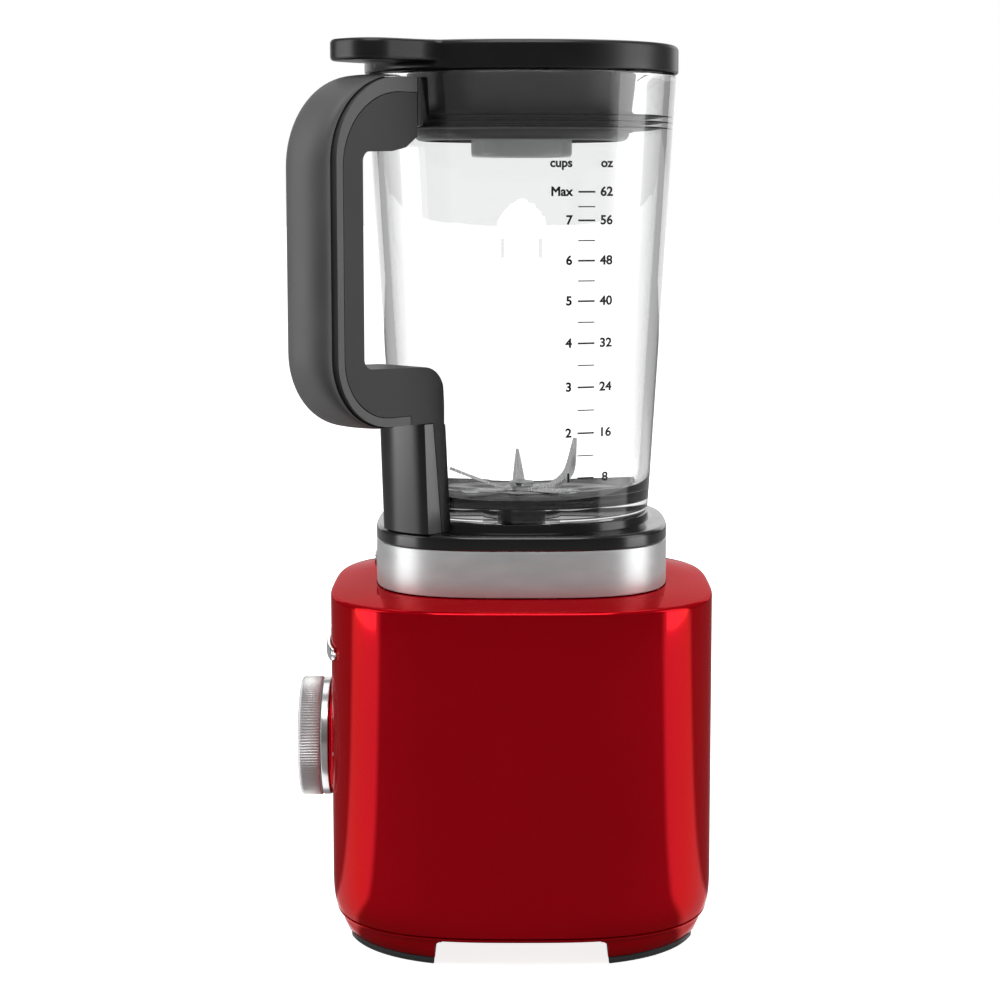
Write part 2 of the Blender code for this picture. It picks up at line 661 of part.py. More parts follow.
def blades():
    blade("lower_blade", (
        (40, ((5, 0, 4.8), (22, -0.1, 4.6), (33, -1.2, 1.4))),
        (186, ((5, 0, 4.8), (10, 0.3, 4.4), (13, 4, 3.2), (15, 9, 2.6), (19.5, 19.5, 0.8))),
    ), BLADE_Z)
    top = BLADE_Z + BLADE_THICK + GAP
    blade("upper_blade", (
        (114, ((5, 0, 5.0), (18, 0.9, 5.0), (23.5, 5.0, 4.6), (26.8, 10.5, 4.0), (29.2, 24, 0.8))),
        (290, ((5, 0, 5.0), (9, 0, 5.0), (35.8, 11.6, 1.6))),
    ), top)
    rod("blade_spindle", BLADE_SHAFT, 173, top + 5.2, STEEL, AXIS, 16)
    hexagon = [(6.4 * math.cos(math.pi * k / 3), 6.4 * math.sin(math.pi * k / 3)) for k in range(6)]
    nut = prism("blade_nut", hexagon, top + 1.8, top + 4.6, CHROME, AXIS, 0.5, 1)
    cut(nut, rod("nut_bore", BLADE_SHAFT + GAP, top, top + 8, None, AXIS, 16))
    plug = [(8.8 * math.cos(math.pi * k / 3), 8.8 * math.sin(math.pi * k / 3)) for k in range(6)]
    coupling = prism("jar_coupling", plug, 168, 181, BLACK, AXIS, 0.6, 1)
    cut(coupling, rod("jar_coupling_bore", BLADE_SHAFT + GAP, 172, 183, None, AXIS, 16))


# ---------------------------------------------------------------- handle

def clear_of_jar(piece, low, high):
    """Trim a handle piece to the outside of the jar's corner."""
    cut(piece, loft("jar_clearance", [
        ring(jar_half(low) + GAP, JAR_POWER, low),
        ring(jar_half(high) + GAP, JAR_POWER, high),
    ], None, AXIS))


def round_inside(core):
    """Round the side edges that face the finger gap and the jar."""
    weights = core.data.attributes.new("bevel_weight_edge", "FLOAT", "EDGE")
    corners = core.data.vertices
    for edge in core.data.edges:
        first, second = (corners[index].co / MM for index in edge.vertices)
        middle = (first + second) / 2
        along_side = abs(first.y - second.y) < 0.01
        within = middle.x < WINDOW_OUT + 1 and WINDOW_LOW_Z - 18 < middle.z < WINDOW_TOP_Z + 16
        if along_side and within and middle.x > 63:
            weights.data[edge.index].value = 1.0
    edges = core.modifiers.new("round inside", "BEVEL")
    edges.width = 4.5 * MM
    edges.segments = 3
    edges.limit_method = "WEIGHT"


def handle_core():
    """The upper arm, the inside of the grip, the lower arm and the back of the post."""
    top = ARM_TOP_Z - 6.8
    low = HANDLE_LOW_Z + 4.2
    core = prism("handle_core", rounded([
        (ARM_END, top, 0), (SEAM_OUT, top, 33), (SEAM_OUT, low, 26), (BAND_END, low, 0),
        (BAND_END, HANDLE_LOW_Z, 0), (POST_SEAM, HANDLE_LOW_Z, 0), (POST_SEAM_LOW, FOOT_TOP_Z + GAP, 0),
        (40, FOOT_TOP_Z + GAP, 0), (40, 240, 0), (64, 240, 0), (64, WINDOW_LOW_Z - 1, 11),
        (WINDOW_OUT, WINDOW_LOW_Z, 4), (WINDOW_OUT, WINDOW_TOP_Z, 4), (94, WINDOW_TOP_Z, 0),
        (86, WINDOW_TOP_Z + 1.7, 0), (ARM_END, WINDOW_TOP_Z + 6.5, 0),
    ]), -HANDLE_HALF, HANDLE_HALF, SOFT, HANDLE, upright=True)
    round_inside(core)
    clear_of_jar(core, 185, 268)


def handle_band():
    """The strip between the core and the soft grip."""
    top = ARM_TOP_Z - 6.8 + GAP
    low = HANDLE_LOW_Z + 4.2 - GAP
    prism("handle_band", rounded([
        (ARM_END, ARM_TOP_Z, 0), (GROOVE_OUT, ARM_TOP_Z, 37), (GROOVE_OUT, HANDLE_LOW_Z, 30),
        (BAND_END + GAP, HANDLE_LOW_Z, 0), (BAND_END + GAP, low, 0), (SEAM_OUT + GAP, low, 26.3),
        (SEAM_OUT + GAP, top, 33.3), (ARM_END, top, 0),
    ], 7), -HANDLE_HALF, HANDLE_HALF, BLACK, HANDLE, upright=True)


def handle_grip():
    """The soft crescent on the outside of the handle, thickest down its straight part."""
    inside = rounded([
        (88, ARM_TOP_Z + GAP, 0), (GROOVE_OUT + GAP, ARM_TOP_Z + GAP, 37.3),
        (GROOVE_OUT + GAP, HANDLE_LOW_Z - GAP, 30.3), (93, HANDLE_LOW_Z - GAP, 0),
    ], 8)[:-1] + [(93, HANDLE_LOW_Z - GAP)]
    outside = rounded([
        (88, ARM_TOP_Z + 1.1, 0), (GRIP_OUT, ARM_TOP_Z + 1.1, 42),
        (GRIP_OUT, HANDLE_LOW_Z - 1.1, 36), (93, HANDLE_LOW_Z - 1.1, 0),
    ], 8)[:-1] + [(93, HANDLE_LOW_Z - 1.1)]
    rings = []
    for near, far in zip(inside, outside):
        points = []
        for step in range(9):
            angle = math.pi * step / 8
            side = math.copysign(abs(math.cos(angle)) ** 0.9, math.cos(angle)) * GRIP_HALF
            rise = 0.04 + 0.96 * abs(math.sin(angle)) ** 0.9
            out, up = (start + (end - start) * rise for start, end in zip(near, far))
            points.append(Vector((out, side, up)) * MM)
        points.append(Vector((near[0], -GRIP_HALF, near[1])) * MM)
        points.insert(0, Vector((near[0], GRIP_HALF, near[1])) * MM)
        rings.append(points)
    loft("handle_grip", rings, SOFT, HANDLE)


def handle_post():
    """The glossy cover down the front of the post, flush with the jar's foot."""
    rings = []
    steps = 8
    for height in (FOOT_TOP_Z + GAP, 216, HANDLE_LOW_Z - GAP):
        lean = 0.04 * (height - FOOT_TOP_Z)
        share = (height - FOOT_TOP_Z) / (HANDLE_LOW_Z - FOOT_TOP_Z)
        seam = POST_SEAM_LOW + (POST_SEAM - POST_SEAM_LOW) * share + GAP + 0.1
        outline = [(seam, HANDLE_HALF), (seam, -HANDLE_HALF)]
        for step in range(steps + 1):
            aside = HANDLE_HALF * (2 * step / steps - 1)
            outline.append((diagonal_reach(COLLAR_HALF + 0.4, COLLAR_POWER, aside) + lean, aside))
        rings.append([Vector((out, aside, height)) * MM for out, aside in outline])
    loft("handle_post", rings, BLACK, HANDLE)


def handle_flange():
    """The plate that holds the upper arm against the jar's corner."""
    flange = prism("handle_flange", [
        (ARM_END - GAP, ARM_TOP_Z), (60, ARM_TOP_Z), (60, WINDOW_TOP_Z + 15),
        (75, WINDOW_TOP_Z + 13.5), (ARM_END - GAP, WINDOW_TOP_Z + 6.8),
    ], -HANDLE_HALF, HANDLE_HALF, BLACK, HANDLE, upright=True)
    clear_of_jar(flange, 360, 400)


# ---------------------------------------------------------------- lid

def lid():
    top = LID_TOP_Z
    hole = CAP_HALF + 0.5
    body = loft("lid", [
        ring(PLUG_HALF - 2.0, JAR_POWER, PLUG_Z),
        ring(PLUG_HALF - 0.4, JAR_POWER, PLUG_Z + 1.4),
        ring(PLUG_HALF, JAR_POWER, PLUG_Z + 4),
        ring(PLUG_HALF + 3.0, JAR_POWER, LID_RIM_Z - 0.6),
        ring(LID_HALF - 0.8, JAR_POWER, LID_RIM_Z - 0.6),
        ring(LID_HALF - 0.2, JAR_POWER, LID_RIM_Z),
        ring(LID_HALF, JAR_POWER, LID_RIM_Z + 1),
        ring(LID_HALF, JAR_POWER, top - 2),
        ring(LID_HALF - 0.7, JAR_POWER, top - 0.6),
        ring(LID_HALF - 2.2, JAR_POWER, top),
        ring(hole + 5, 2, top),
        ring(hole + 5, 2, top - 3.0),
        ring(hole, 2, top - 3.0),
        ring(hole, 2, PLUG_Z + 2),
        ring(hole + 2.2, 2, PLUG_Z + 2),
        ring(hole + 2.2, 2, top - 6),
        ring(PLUG_HALF - 3.0, JAR_POWER, top - 6),
        ring(PLUG_HALF - 4.4, JAR_POWER, PLUG_Z),
    ], BLACK, AXIS, closed=True)
    tab = prism("lid_tab", rounded([
        (63, -22, 0), (109.3, -17, 15), (109.3, 17, 15), (63, 22, 0),
    ]), LID_RIM_Z + 2.7, top - 0.1, None, HANDLE, 1.6, 2)
    join(body, tab)


def lid_seal():
    """The ribbed ring round the plug that wipes the inside of the jar."""
    inner = PLUG_HALF + 1.7
    low = PLUG_Z + 4.0
    face = jar_half(low) - JAR_WALL - 0.3
    rings = [ring(inner, JAR_POWER, low)]
    for index in range(3):
        z = low + 1.2 + 2.6 * index
        rings += [
            ring(inner + 0.7, JAR_POWER, z - 0.6), ring(face, JAR_POWER, z + 0.4),
            ring(inner + 0.7, JAR_POWER, z + 1.4),
        ]
    rings.append(ring(inner, JAR_POWER, low + 9))
    loft("lid_seal", rings, RUBBER, AXIS, closed=True)


def measuring_cap():
    """A clear cup, mouth down, that closes the hole in the lid."""
    top = LID_TOP_Z
    turned("measuring_cap", [
        (0, top - 0.3), (CAP_HALF + 4.0, top - 0.3), (CAP_HALF + 4.8, top - 1.0),
        (CAP_HALF + 4.8, top - 2.7), (CAP_HALF - 0.3, top - 2.7), (CAP_HALF - 1.3, CAP_Z + 1),
        (CAP_HALF - 2.0, CAP_Z), (CAP_HALF - 3.2, CAP_Z), (CAP_HALF - 3.9, CAP_Z + 1),
        (CAP_HALF - 2.9, top - 5.5), (CAP_HALF - 4.4, top - 6.8), (0, top - 6.8),
    ], CLEAR, AXIS)


empty_scene()
PARTS = new_collection("countertop_blender")
CUTTERS = new_collection("cutters")
AXIS = new_empty("drive_axis", place=(AXIS_X, AXIS_Y, -GROUND_Z))
HANDLE = new_empty("handle_plane", AXIS, turn=(0, 0, HANDLE_TURN))
KNOB_AXIS = new_empty("knob_axis", AXIS, (0, 0, KNOB_Z), (math.pi / 2, 0, 0))
GLAND_AXIS = new_empty("gland_axis", AXIS, (0, 0, GLAND_Z), (math.pi / 2, 0, 0))

base_housing()
base_bottom()
collar_and_seat()
arc_plate("front_trim_bar", BASE_HALF, BASE_POWER, 133.6, 104, 6.4, GAP, 2.3, CHROME)
arc_plate("collar_badge", COLLAR_HALF, COLLAR_POWER, 171.5, 24, 7, GAP, 1.3, CHROME)
cord_gland()
knob()
motor()
drive()
plunger()
jar()
jar_foot()
blade_bearing()
blades()
handle_core()
handle_band()
handle_grip()
handle_post()
handle_flange()
lid()
lid_seal()
measuring_cap()
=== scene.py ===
"""Looks for the countertop blender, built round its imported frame."""

import json
import math

import bmesh
import bpy
from mathutils import Matrix, Vector


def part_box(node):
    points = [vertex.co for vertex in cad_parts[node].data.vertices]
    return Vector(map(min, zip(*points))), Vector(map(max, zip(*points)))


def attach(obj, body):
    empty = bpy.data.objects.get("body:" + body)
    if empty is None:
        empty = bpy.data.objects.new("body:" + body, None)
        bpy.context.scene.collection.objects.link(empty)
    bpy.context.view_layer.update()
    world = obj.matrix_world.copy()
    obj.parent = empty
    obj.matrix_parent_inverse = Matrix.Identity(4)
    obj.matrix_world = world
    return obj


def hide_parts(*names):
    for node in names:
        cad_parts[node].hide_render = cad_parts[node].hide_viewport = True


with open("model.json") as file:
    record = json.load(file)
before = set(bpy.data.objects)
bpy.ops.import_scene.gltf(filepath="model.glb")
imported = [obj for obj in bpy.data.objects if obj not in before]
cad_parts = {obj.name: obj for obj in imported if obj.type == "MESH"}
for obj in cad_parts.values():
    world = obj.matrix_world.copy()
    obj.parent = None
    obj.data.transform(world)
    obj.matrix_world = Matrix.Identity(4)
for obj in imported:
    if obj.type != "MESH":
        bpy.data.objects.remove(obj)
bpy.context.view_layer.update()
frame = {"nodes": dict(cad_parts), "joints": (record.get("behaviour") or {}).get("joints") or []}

MM = 0.001
SPIN = next(joint for joint in frame["joints"] if joint["name"] == "motor_spin")
RISE = 3.0                      # heights are measured from this far above the ground
AXIS = Matrix.Translation((SPIN["pos_m"][0], SPIN["pos_m"][1], RISE * MM))
HANDLE = AXIS @ Matrix.Rotation(math.radians(-45), 4, "Z")


def level(node, top=True):
    """The height of a CAD node's top or bottom, in millimetres."""
    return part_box(node)[1 if top else 0].z / MM - RISE


GAP = 0.3                       # clearance between neighbouring pieces
SIDES = 224                     # points round a rounded-square outline
BASE_HALF = 89.2
BASE_POWER = 3.3
SEAM_POWER = 2.94
BASE_TOP = 160.1                # where the casing's rounded top edge ends
BASE_WALL = 3.0
COLLAR_HALF = 68.0
COLLAR_POWER = 3.05
BOSS_RADIUS = 27.9
FLOOR_THICK = 5.6
JAR_POWER = 2.33
JAR_LOW = level("jar", False)
JAR_TOP = level("jar")
JAR_LOW_HALF = 59.4
JAR_TOP_HALF = (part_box("jar")[1].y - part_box("jar")[0].y) / MM / 2
JAR_WALL = 5.0
FOOT_TOP = 190.7
BLADE_Z = 201.2
LID_RIM = 397.3
PLUG_HALF = 50.4


# ---------------------------------------------------------------- materials

def link(tree, source, target):
    tree.links.new(source, target)


def principled(name, colour, roughness, metallic=0.0, **sockets):
    made = bpy.data.materials.new(name)
    made.use_nodes = True
    made.diffuse_color = (*colour, 1.0)
    shader = made.node_tree.nodes["Principled BSDF"]
    shader.inputs["Base Color"].default_value = (*colour, 1.0)
    shader.inputs["Roughness"].default_value = roughness
    shader.inputs["Metallic"].default_value = metallic
    for socket, value in sockets.items():
        shader.inputs[socket.replace("_", " ")].default_value = value
    return made


def noise(made, scale, detail=2.0, stretch=(1, 1, 1)):
    """Noise over the object's own coordinates; scale is in features per metre."""
    tree = made.node_tree
    place = tree.nodes.new("ShaderNodeTexCoord")
    mapping = tree.nodes.new("ShaderNodeMapping")
    mapping.inputs["Scale"].default_value = stretch
    texture = tree.nodes.new("ShaderNodeTexNoise")
    texture.inputs["Scale"].default_value = scale
    texture.inputs["Detail"].default_value = detail
    texture.inputs["Roughness"].default_value = 0.5
    link(tree, place.outputs["Object"], mapping.inputs["Vector"])
    link(tree, mapping.outputs["Vector"], texture.inputs["Vector"])
    return texture.outputs["Fac"]


def vary_colour(made, pattern, low, high):
    tree = made.node_tree
    ramp = tree.nodes.new("ShaderNodeValToRGB")
    ramp.color_ramp.elements[0].position = 0.3
    ramp.color_ramp.elements[0].color = (*low, 1)
    ramp.color_ramp.elements[1].position = 0.7
    ramp.color_ramp.elements[1].color = (*high, 1)
    link(tree, pattern, ramp.inputs["Fac"])
    link(tree, ramp.outputs["Color"], tree.nodes["Principled BSDF"].inputs["Base Color"])


def vary_roughness(made, pattern, low, high):
    tree = made.node_tree
    spread = tree.nodes.new("ShaderNodeMapRange")
    spread.inputs["From Min"].default_value = 0.3
    spread.inputs["From Max"].default_value = 0.7
    spread.inputs["To Min"].default_value = low
    spread.inputs["To Max"].default_value = high
    link(tree, pattern, spread.inputs["Value"])
    link(tree, spread.outputs["Result"], tree.nodes["Principled BSDF"].inputs["Roughness"])


def bump(made, pattern, depth):
    tree = made.node_tree
    node = tree.nodes.new("ShaderNodeBump")
    node.inputs["Strength"].default_value = 1.0
    node.inputs["Distance"].default_value = depth * MM
    link(tree, pattern, node.inputs["Height"])
    link(tree, node.outputs["Normal"], tree.nodes["Principled BSDF"].inputs["Normal"])


def textured(name, low, high, rough, metallic=0.0, fine=900, coarse=35, depth=0.01,
             stretch=(1, 1, 1), **sockets):
    """A material with colour and roughness that drift slowly and a fine raised grain."""
    made = principled(name, high, sum(rough) / 2, metallic, **sockets)
    drift = noise(made, coarse, 3.0, stretch)
    vary_colour(made, drift, low, high)
    vary_roughness(made, drift, *rough)
    bump(made, noise(made, fine, 2.0, stretch), depth)
    return made


RED = textured("red_paint", (0.45, 0.0, 0.006), (0.49, 0.0, 0.007), (0.07, 0.085), 0.5,
               260, 14, 0.0015, Coat_Weight=0.12, Coat_Roughness=0.03,
               Specular_IOR_Level=0.0, Specular_Tint=(0.55, 0.05, 0.065, 1.0))
SATIN = textured("satin_metal", (0.595, 0.615, 0.615), (0.655, 0.675, 0.675), (0.34, 0.4), 0.5,
                 1500, 60, 0.003, (1, 1, 3))
KNURL = textured("turned_metal", (0.60, 0.60, 0.60), (0.68, 0.68, 0.68), (0.34, 0.42), 0.7,
                 2200, 90, 0.003)
CHROME = textured("chrome", (0.74, 0.74, 0.75), (0.82, 0.82, 0.83), (0.05, 0.10), 1.0, 700, 30, 0.001)
GLOSS = textured("black_gloss", (0.006, 0.006, 0.0062), (0.009, 0.009, 0.0092), (0.16, 0.22), 0.0,
                 1400, 30, 0.004)
LID = textured("lid_black", (0.005, 0.005, 0.0052), (0.008, 0.008, 0.0082), (0.3, 0.38), 0.0,
               2600, 40, 0.006, Specular_IOR_Level=0.4)
SOFT = textured("soft_touch", (0.08, 0.08, 0.0805), (0.1, 0.1, 0.1005), (0.5, 0.6), 0.0,
                3200, 25, 0.01)
# Painted shade: the handle core's black is darker than the band's soft-touch black, standing in for the
# shading on the core's rounded inner faces.
CORE_PAINTED_SHADE = textured("handle_black_painted_shade", (0.035, 0.035, 0.0352), (0.045, 0.045, 0.0452), (0.42, 0.5), 0.0,
                3200, 25, 0.006, Specular_IOR_Level=0.2)
# Near-black: the knob's pointer and the lid's seal have it as their own colour, while on the handle it is
# painted shade, a strip in the groove under the grip where only shadow falls.
GROOVE = textured("black_and_painted_groove_shade", (0.006, 0.006, 0.006), (0.01, 0.01, 0.01), (0.6, 0.7))
RUBBER = textured("rubber", (0.035, 0.039, 0.039), (0.05, 0.055, 0.055), (0.7, 0.85), 0.0,
                  2400, 50, 0.02)
STEEL = textured("ground_steel", (0.5, 0.5, 0.5), (0.62, 0.62, 0.62), (0.16, 0.26), 1.0,
                 1800, 90, 0.003, (1, 12, 1))
BLADE = textured("blade_steel", (0.82, 0.82, 0.82), (0.9, 0.9, 0.9), (0.2, 0.3), 0.6,
                 1800, 90, 0.003, (1, 12, 1))
IRON = textured("laminated_iron", (0.12, 0.12, 0.125), (0.2, 0.2, 0.205), (0.45, 0.6), 1.0,
                2000, 60, 0.02, (0.05, 0.05, 1))
COPPER = textured("copper_wire", (0.5, 0.17, 0.06), (0.65, 0.26, 0.12), (0.25, 0.4), 1.0,
                  1200, 60, 0.05, (0.1, 1, 0.1))
RING = textured("satin_ring", (0.56, 0.56, 0.56), (0.64, 0.64, 0.64), (0.2, 0.26), 0.9, 1800, 60, 0.002)
CARBON = textured("carbon", (0.02, 0.02, 0.02), (0.035, 0.035, 0.035), (0.6, 0.75))
BOARD = textured("board_green", (0.01, 0.07, 0.025), (0.02, 0.13, 0.05), (0.4, 0.5), 0.0, 300, 200)
WHITE = textured("white_plastic", (0.62, 0.62, 0.6), (0.7, 0.7, 0.68), (0.4, 0.5))
PRINT = textured("print_dark", (0.012, 0.012, 0.013), (0.02, 0.02, 0.022), (0.45, 0.55))
DIAL_PRINT = textured("print_pale", (0.6, 0.6, 0.6), (0.7, 0.7, 0.7), (0.35, 0.45))


def clear(name, tint, roughness, ripple, passing=1.0):
    made = principled(name, tint, roughness, 0.0, Transmission_Weight=passing, IOR=1.5)
    vary_roughness(made, noise(made, 40, 3.0), roughness * 0.6, roughness)
    bump(made, noise(made, 90, 1.0), ripple)
    return made


CLEAR = clear("clear_jar", (0.972, 0.978, 0.974), 0.012, 0.006)
CLEAR_CAP = clear("clear_cap", (0.93, 0.94, 0.94), 0.02, 0.004, 0.75)


# ---------------------------------------------------------------- outlines

def superellipse(half, power, count=SIDES):
    points = []
    for step in range(count):
        angle = 2 * math.pi * step / count
        scale = (abs(math.cos(angle)) ** power + abs(math.sin(angle)) ** power) ** (-1 / power)
        points.append((half * scale * math.cos(angle), half * scale * math.sin(angle)))
    return points


def ring(half, power, height):
    return [Vector((x, y, height)) * MM for x, y in superellipse(half, power)]


def front_of(half, power, across):
    """How far a rounded square reaches forwards at a distance across from its middle."""
    return (half ** power - abs(across) ** power) ** (1 / power)


def diagonal_reach(half, power, aside):
    """Distance out in the handle's plane to a rounded square, at a distance aside from it."""
    low, high = 0.0, 2 * half
    for _ in range(40):
        out = (low + high) / 2
        first = abs(out + aside) / math.sqrt(2)
        second = abs(out - aside) / math.sqrt(2)
        if first ** power + second ** power < half ** power:
            low = out
        else:
            high = out
    return out


def arc(centre, radius, start, finish, steps=6):
    """Points of an arc in a profile, angles in degrees."""
    points = []
    for step in range(steps + 1):
        angle = math.radians(start + (finish - start) * step / steps)
        points.append((centre[0] + radius * math.cos(angle), centre[1] + radius * math.sin(angle)))
    return points


def rounded(corners, steps=12):
    """A closed outline from (x, y, radius) corners, each corner an arc."""
    points = []
    for index, (x, y, radius) in enumerate(corners):
        corner = Vector((x, y))
        before = (Vector(corners[index - 1][:2]) - corner).normalized()
        after = (Vector(corners[(index + 1) % len(corners)][:2]) - corner).normalized()
        if radius <= 0:
            points.append(corner)
            continue
        half_angle = before.angle(after) / 2
        reach = radius / math.tan(half_angle)
        centre = corner + (before + after).normalized() * radius / math.sin(half_angle)
        start = corner + before * reach - centre
        finish = corner + after * reach - centre
        sweep = start.angle_signed(finish)
        for step in range(steps + 1):
            points.append(centre + Matrix.Rotation(-sweep * step / steps, 2) @ start)
    return [(point.x, point.y) for point in points]


def jar_half(height):
    part = (height - JAR_LOW) / (JAR_TOP - JAR_LOW)
    return JAR_LOW_HALF + (JAR_TOP_HALF - JAR_LOW_HALF) * part


# ---------------------------------------------------------------- pieces

def finished(name, shape, place, look, smooth=32):
    bmesh.ops.recalc_face_normals(shape, faces=shape.faces)
    mesh = bpy.data.meshes.new(name)
    shape.to_mesh(mesh)
    shape.free()
    mesh.shade_smooth()
    mesh.set_sharp_from_angle(angle=math.radians(smooth))
    mesh.materials.append(look)
    thing = bpy.data.objects.new(name, mesh)
    bpy.context.scene.collection.objects.link(thing)
    thing.matrix_world = place
    return thing


def loft(name, rings, look, place=AXIS, closed=False, smooth=32):
    shape = bmesh.new()
    rows = [[shape.verts.new(point) for point in points] for points in rings]
    pairs = list(zip(rows, rows[1:]))
    if closed:
        pairs.append((rows[-1], rows[0]))
    else:
        shape.faces.new(rows[0])
        shape.faces.new(rows[-1])
    for lower, upper in pairs:
        count = len(lower)
        for index in range(count):
            following = (index + 1) % count
            shape.faces.new((lower[index], lower[following], upper[following], upper[index]))
    return finished(name, shape, place, look, smooth)


def shell(name, profile, look, power=JAR_POWER):
    """Loft rounded squares up a profile of (half, height) or (half, height, power)."""
    rings = []
    for entry in profile:
        half, height = entry[:2]
        rings.append(ring(half, entry[2] if len(entry) > 2 else power, height))
    return loft(name, rings, look, AXIS, True)


def turned(name, profile, look, place=AXIS, steps=96, closed=True):
    """Loft circles up a profile of (radius, height)."""
    rings = []
    for radius, height in profile:
        rings.append([
            Vector((radius * math.cos(2 * math.pi * k / steps),
                    radius * math.sin(2 * math.pi * k / steps), height)) * MM
            for k in range(steps)])
    return loft(name, rings, look, place, closed)


def prism(name, outline, low, high, look, place=AXIS, upright=False):
    shape = bmesh.new()
    if upright:
        points = [Vector((x, low, y)) * MM for x, y in outline]
        travel = Vector((0, high - low, 0)) * MM
    else:
        points = [Vector((x, y, low)) * MM for x, y in outline]
        travel = Vector((0, 0, high - low)) * MM
    face = shape.faces.new([shape.verts.new(point) for point in points])
    grown = bmesh.ops.extrude_face_region(shape, geom=[face])
    bmesh.ops.translate(shape, vec=travel, verts=[
        item for item in grown["geom"] if isinstance(item, bmesh.types.BMVert)])
    return finished(name, shape, place, look)


def bevel(thing, width, segments=3, weighted=False):
    edges = thing.modifiers.new("bevel", "BEVEL")
    edges.width = width * MM
    edges.segments = segments
    edges.limit_method = "WEIGHT" if weighted else "ANGLE"
    edges.angle_limit = math.radians(40)
    edges.harden_normals = True
    return thing


def apply_modifiers(thing):
    bpy.context.view_layer.update()
    graph = bpy.context.evaluated_depsgraph_get()
    mesh = bpy.data.meshes.new_from_object(thing.evaluated_get(graph))
    thing.modifiers.clear()
    thing.data = mesh
    return thing


def boolean(thing, tool, operation):
    step = thing.modifiers.new(operation, "BOOLEAN")
    step.operation = operation
    step.object = tool
    step.solver = "EXACT"
    apply_modifiers(thing)
    bpy.data.objects.remove(tool)
    return thing


def piece(thing, body, slot, *nodes):
    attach(thing, body)
    if nodes:
        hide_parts(*nodes)
    return thing


def towards_front(height):
    """A frame at a height on the drive axis whose local Z points out of the base's front."""
    return AXIS @ Matrix.Translation((0, 0, height * MM)) @ Matrix.Rotation(math.pi / 2, 4, "X")


# ---------------------------------------------------------------- base

def base():
    edge = BASE_TOP
    dome = edge + 2.3
    under = edge - BASE_WALL
    seam = level("base_housing", False)
    profile = [(86.6, seam, SEAM_POWER), (87.7, seam + 0.05, SEAM_POWER), (88.25, seam + 0.5, SEAM_POWER)]
    for step in range(11):
        part = step / 10
        ease = 1 - (1 - part) ** 3
        profile.append((88.28 + 0.92 * ease, seam + 0.5 + 18 * part, SEAM_POWER + 0.36 * ease))
    profile.append((BASE_HALF, 100, BASE_POWER))
    profile += [(*point, BASE_POWER) for point in arc((BASE_HALF - 2.0, edge - 2.0), 2.0, 0, 82, 8)]
    profile += [
        (85.0, edge + 0.45, 3.28), (79.2, edge + 1.35, 3.2), (72.0, dome - 0.1, 3.1),
        (68.15, dome, COLLAR_POWER), (68.1, under, COLLAR_POWER), (25, under, 2), (25, under - 1, 2),
        (84, under - 1, BASE_POWER), (86, under - 4, BASE_POWER), (86, 60, BASE_POWER),
        (85.3, seam, SEAM_POWER),
    ]
    casing = shell("base_casing", profile, RED)
    knob_centre = (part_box("knob_ring")[0].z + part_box("knob_ring")[1].z) / 2
    place = towards_front(knob_centre / MM - RISE)
    boss = turned("boss", [
        (8, 87.4), (BOSS_RADIUS, 87.4), *arc((BOSS_RADIUS - 0.5, 89.8), 0.5, 0, 90), (8, 90.3),
    ], RED, place, 160)
    boolean(casing, boss, "UNION")
    piece(casing, "base", "red_casing", "base_housing")


def quarter(half, power, inner, height):
    """A corner of a rounded square beyond a distance inner from both middle lines."""
    fillet = 4.0
    start = math.atan2(inner, front_of(half, power, inner))
    finish = math.pi / 2 - start
    points = []
    for step in range(25):
        angle = start + (finish - start) * step / 24
        scale = (math.cos(angle) ** power + math.sin(angle) ** power) ** (-1 / power)
        points.append((half * scale * math.cos(angle), half * scale * math.sin(angle)))
    points += arc((inner + fillet, inner + fillet), fillet, 180, 270, 8)
    return [Vector((x, y, height)) * MM for x, y in points]


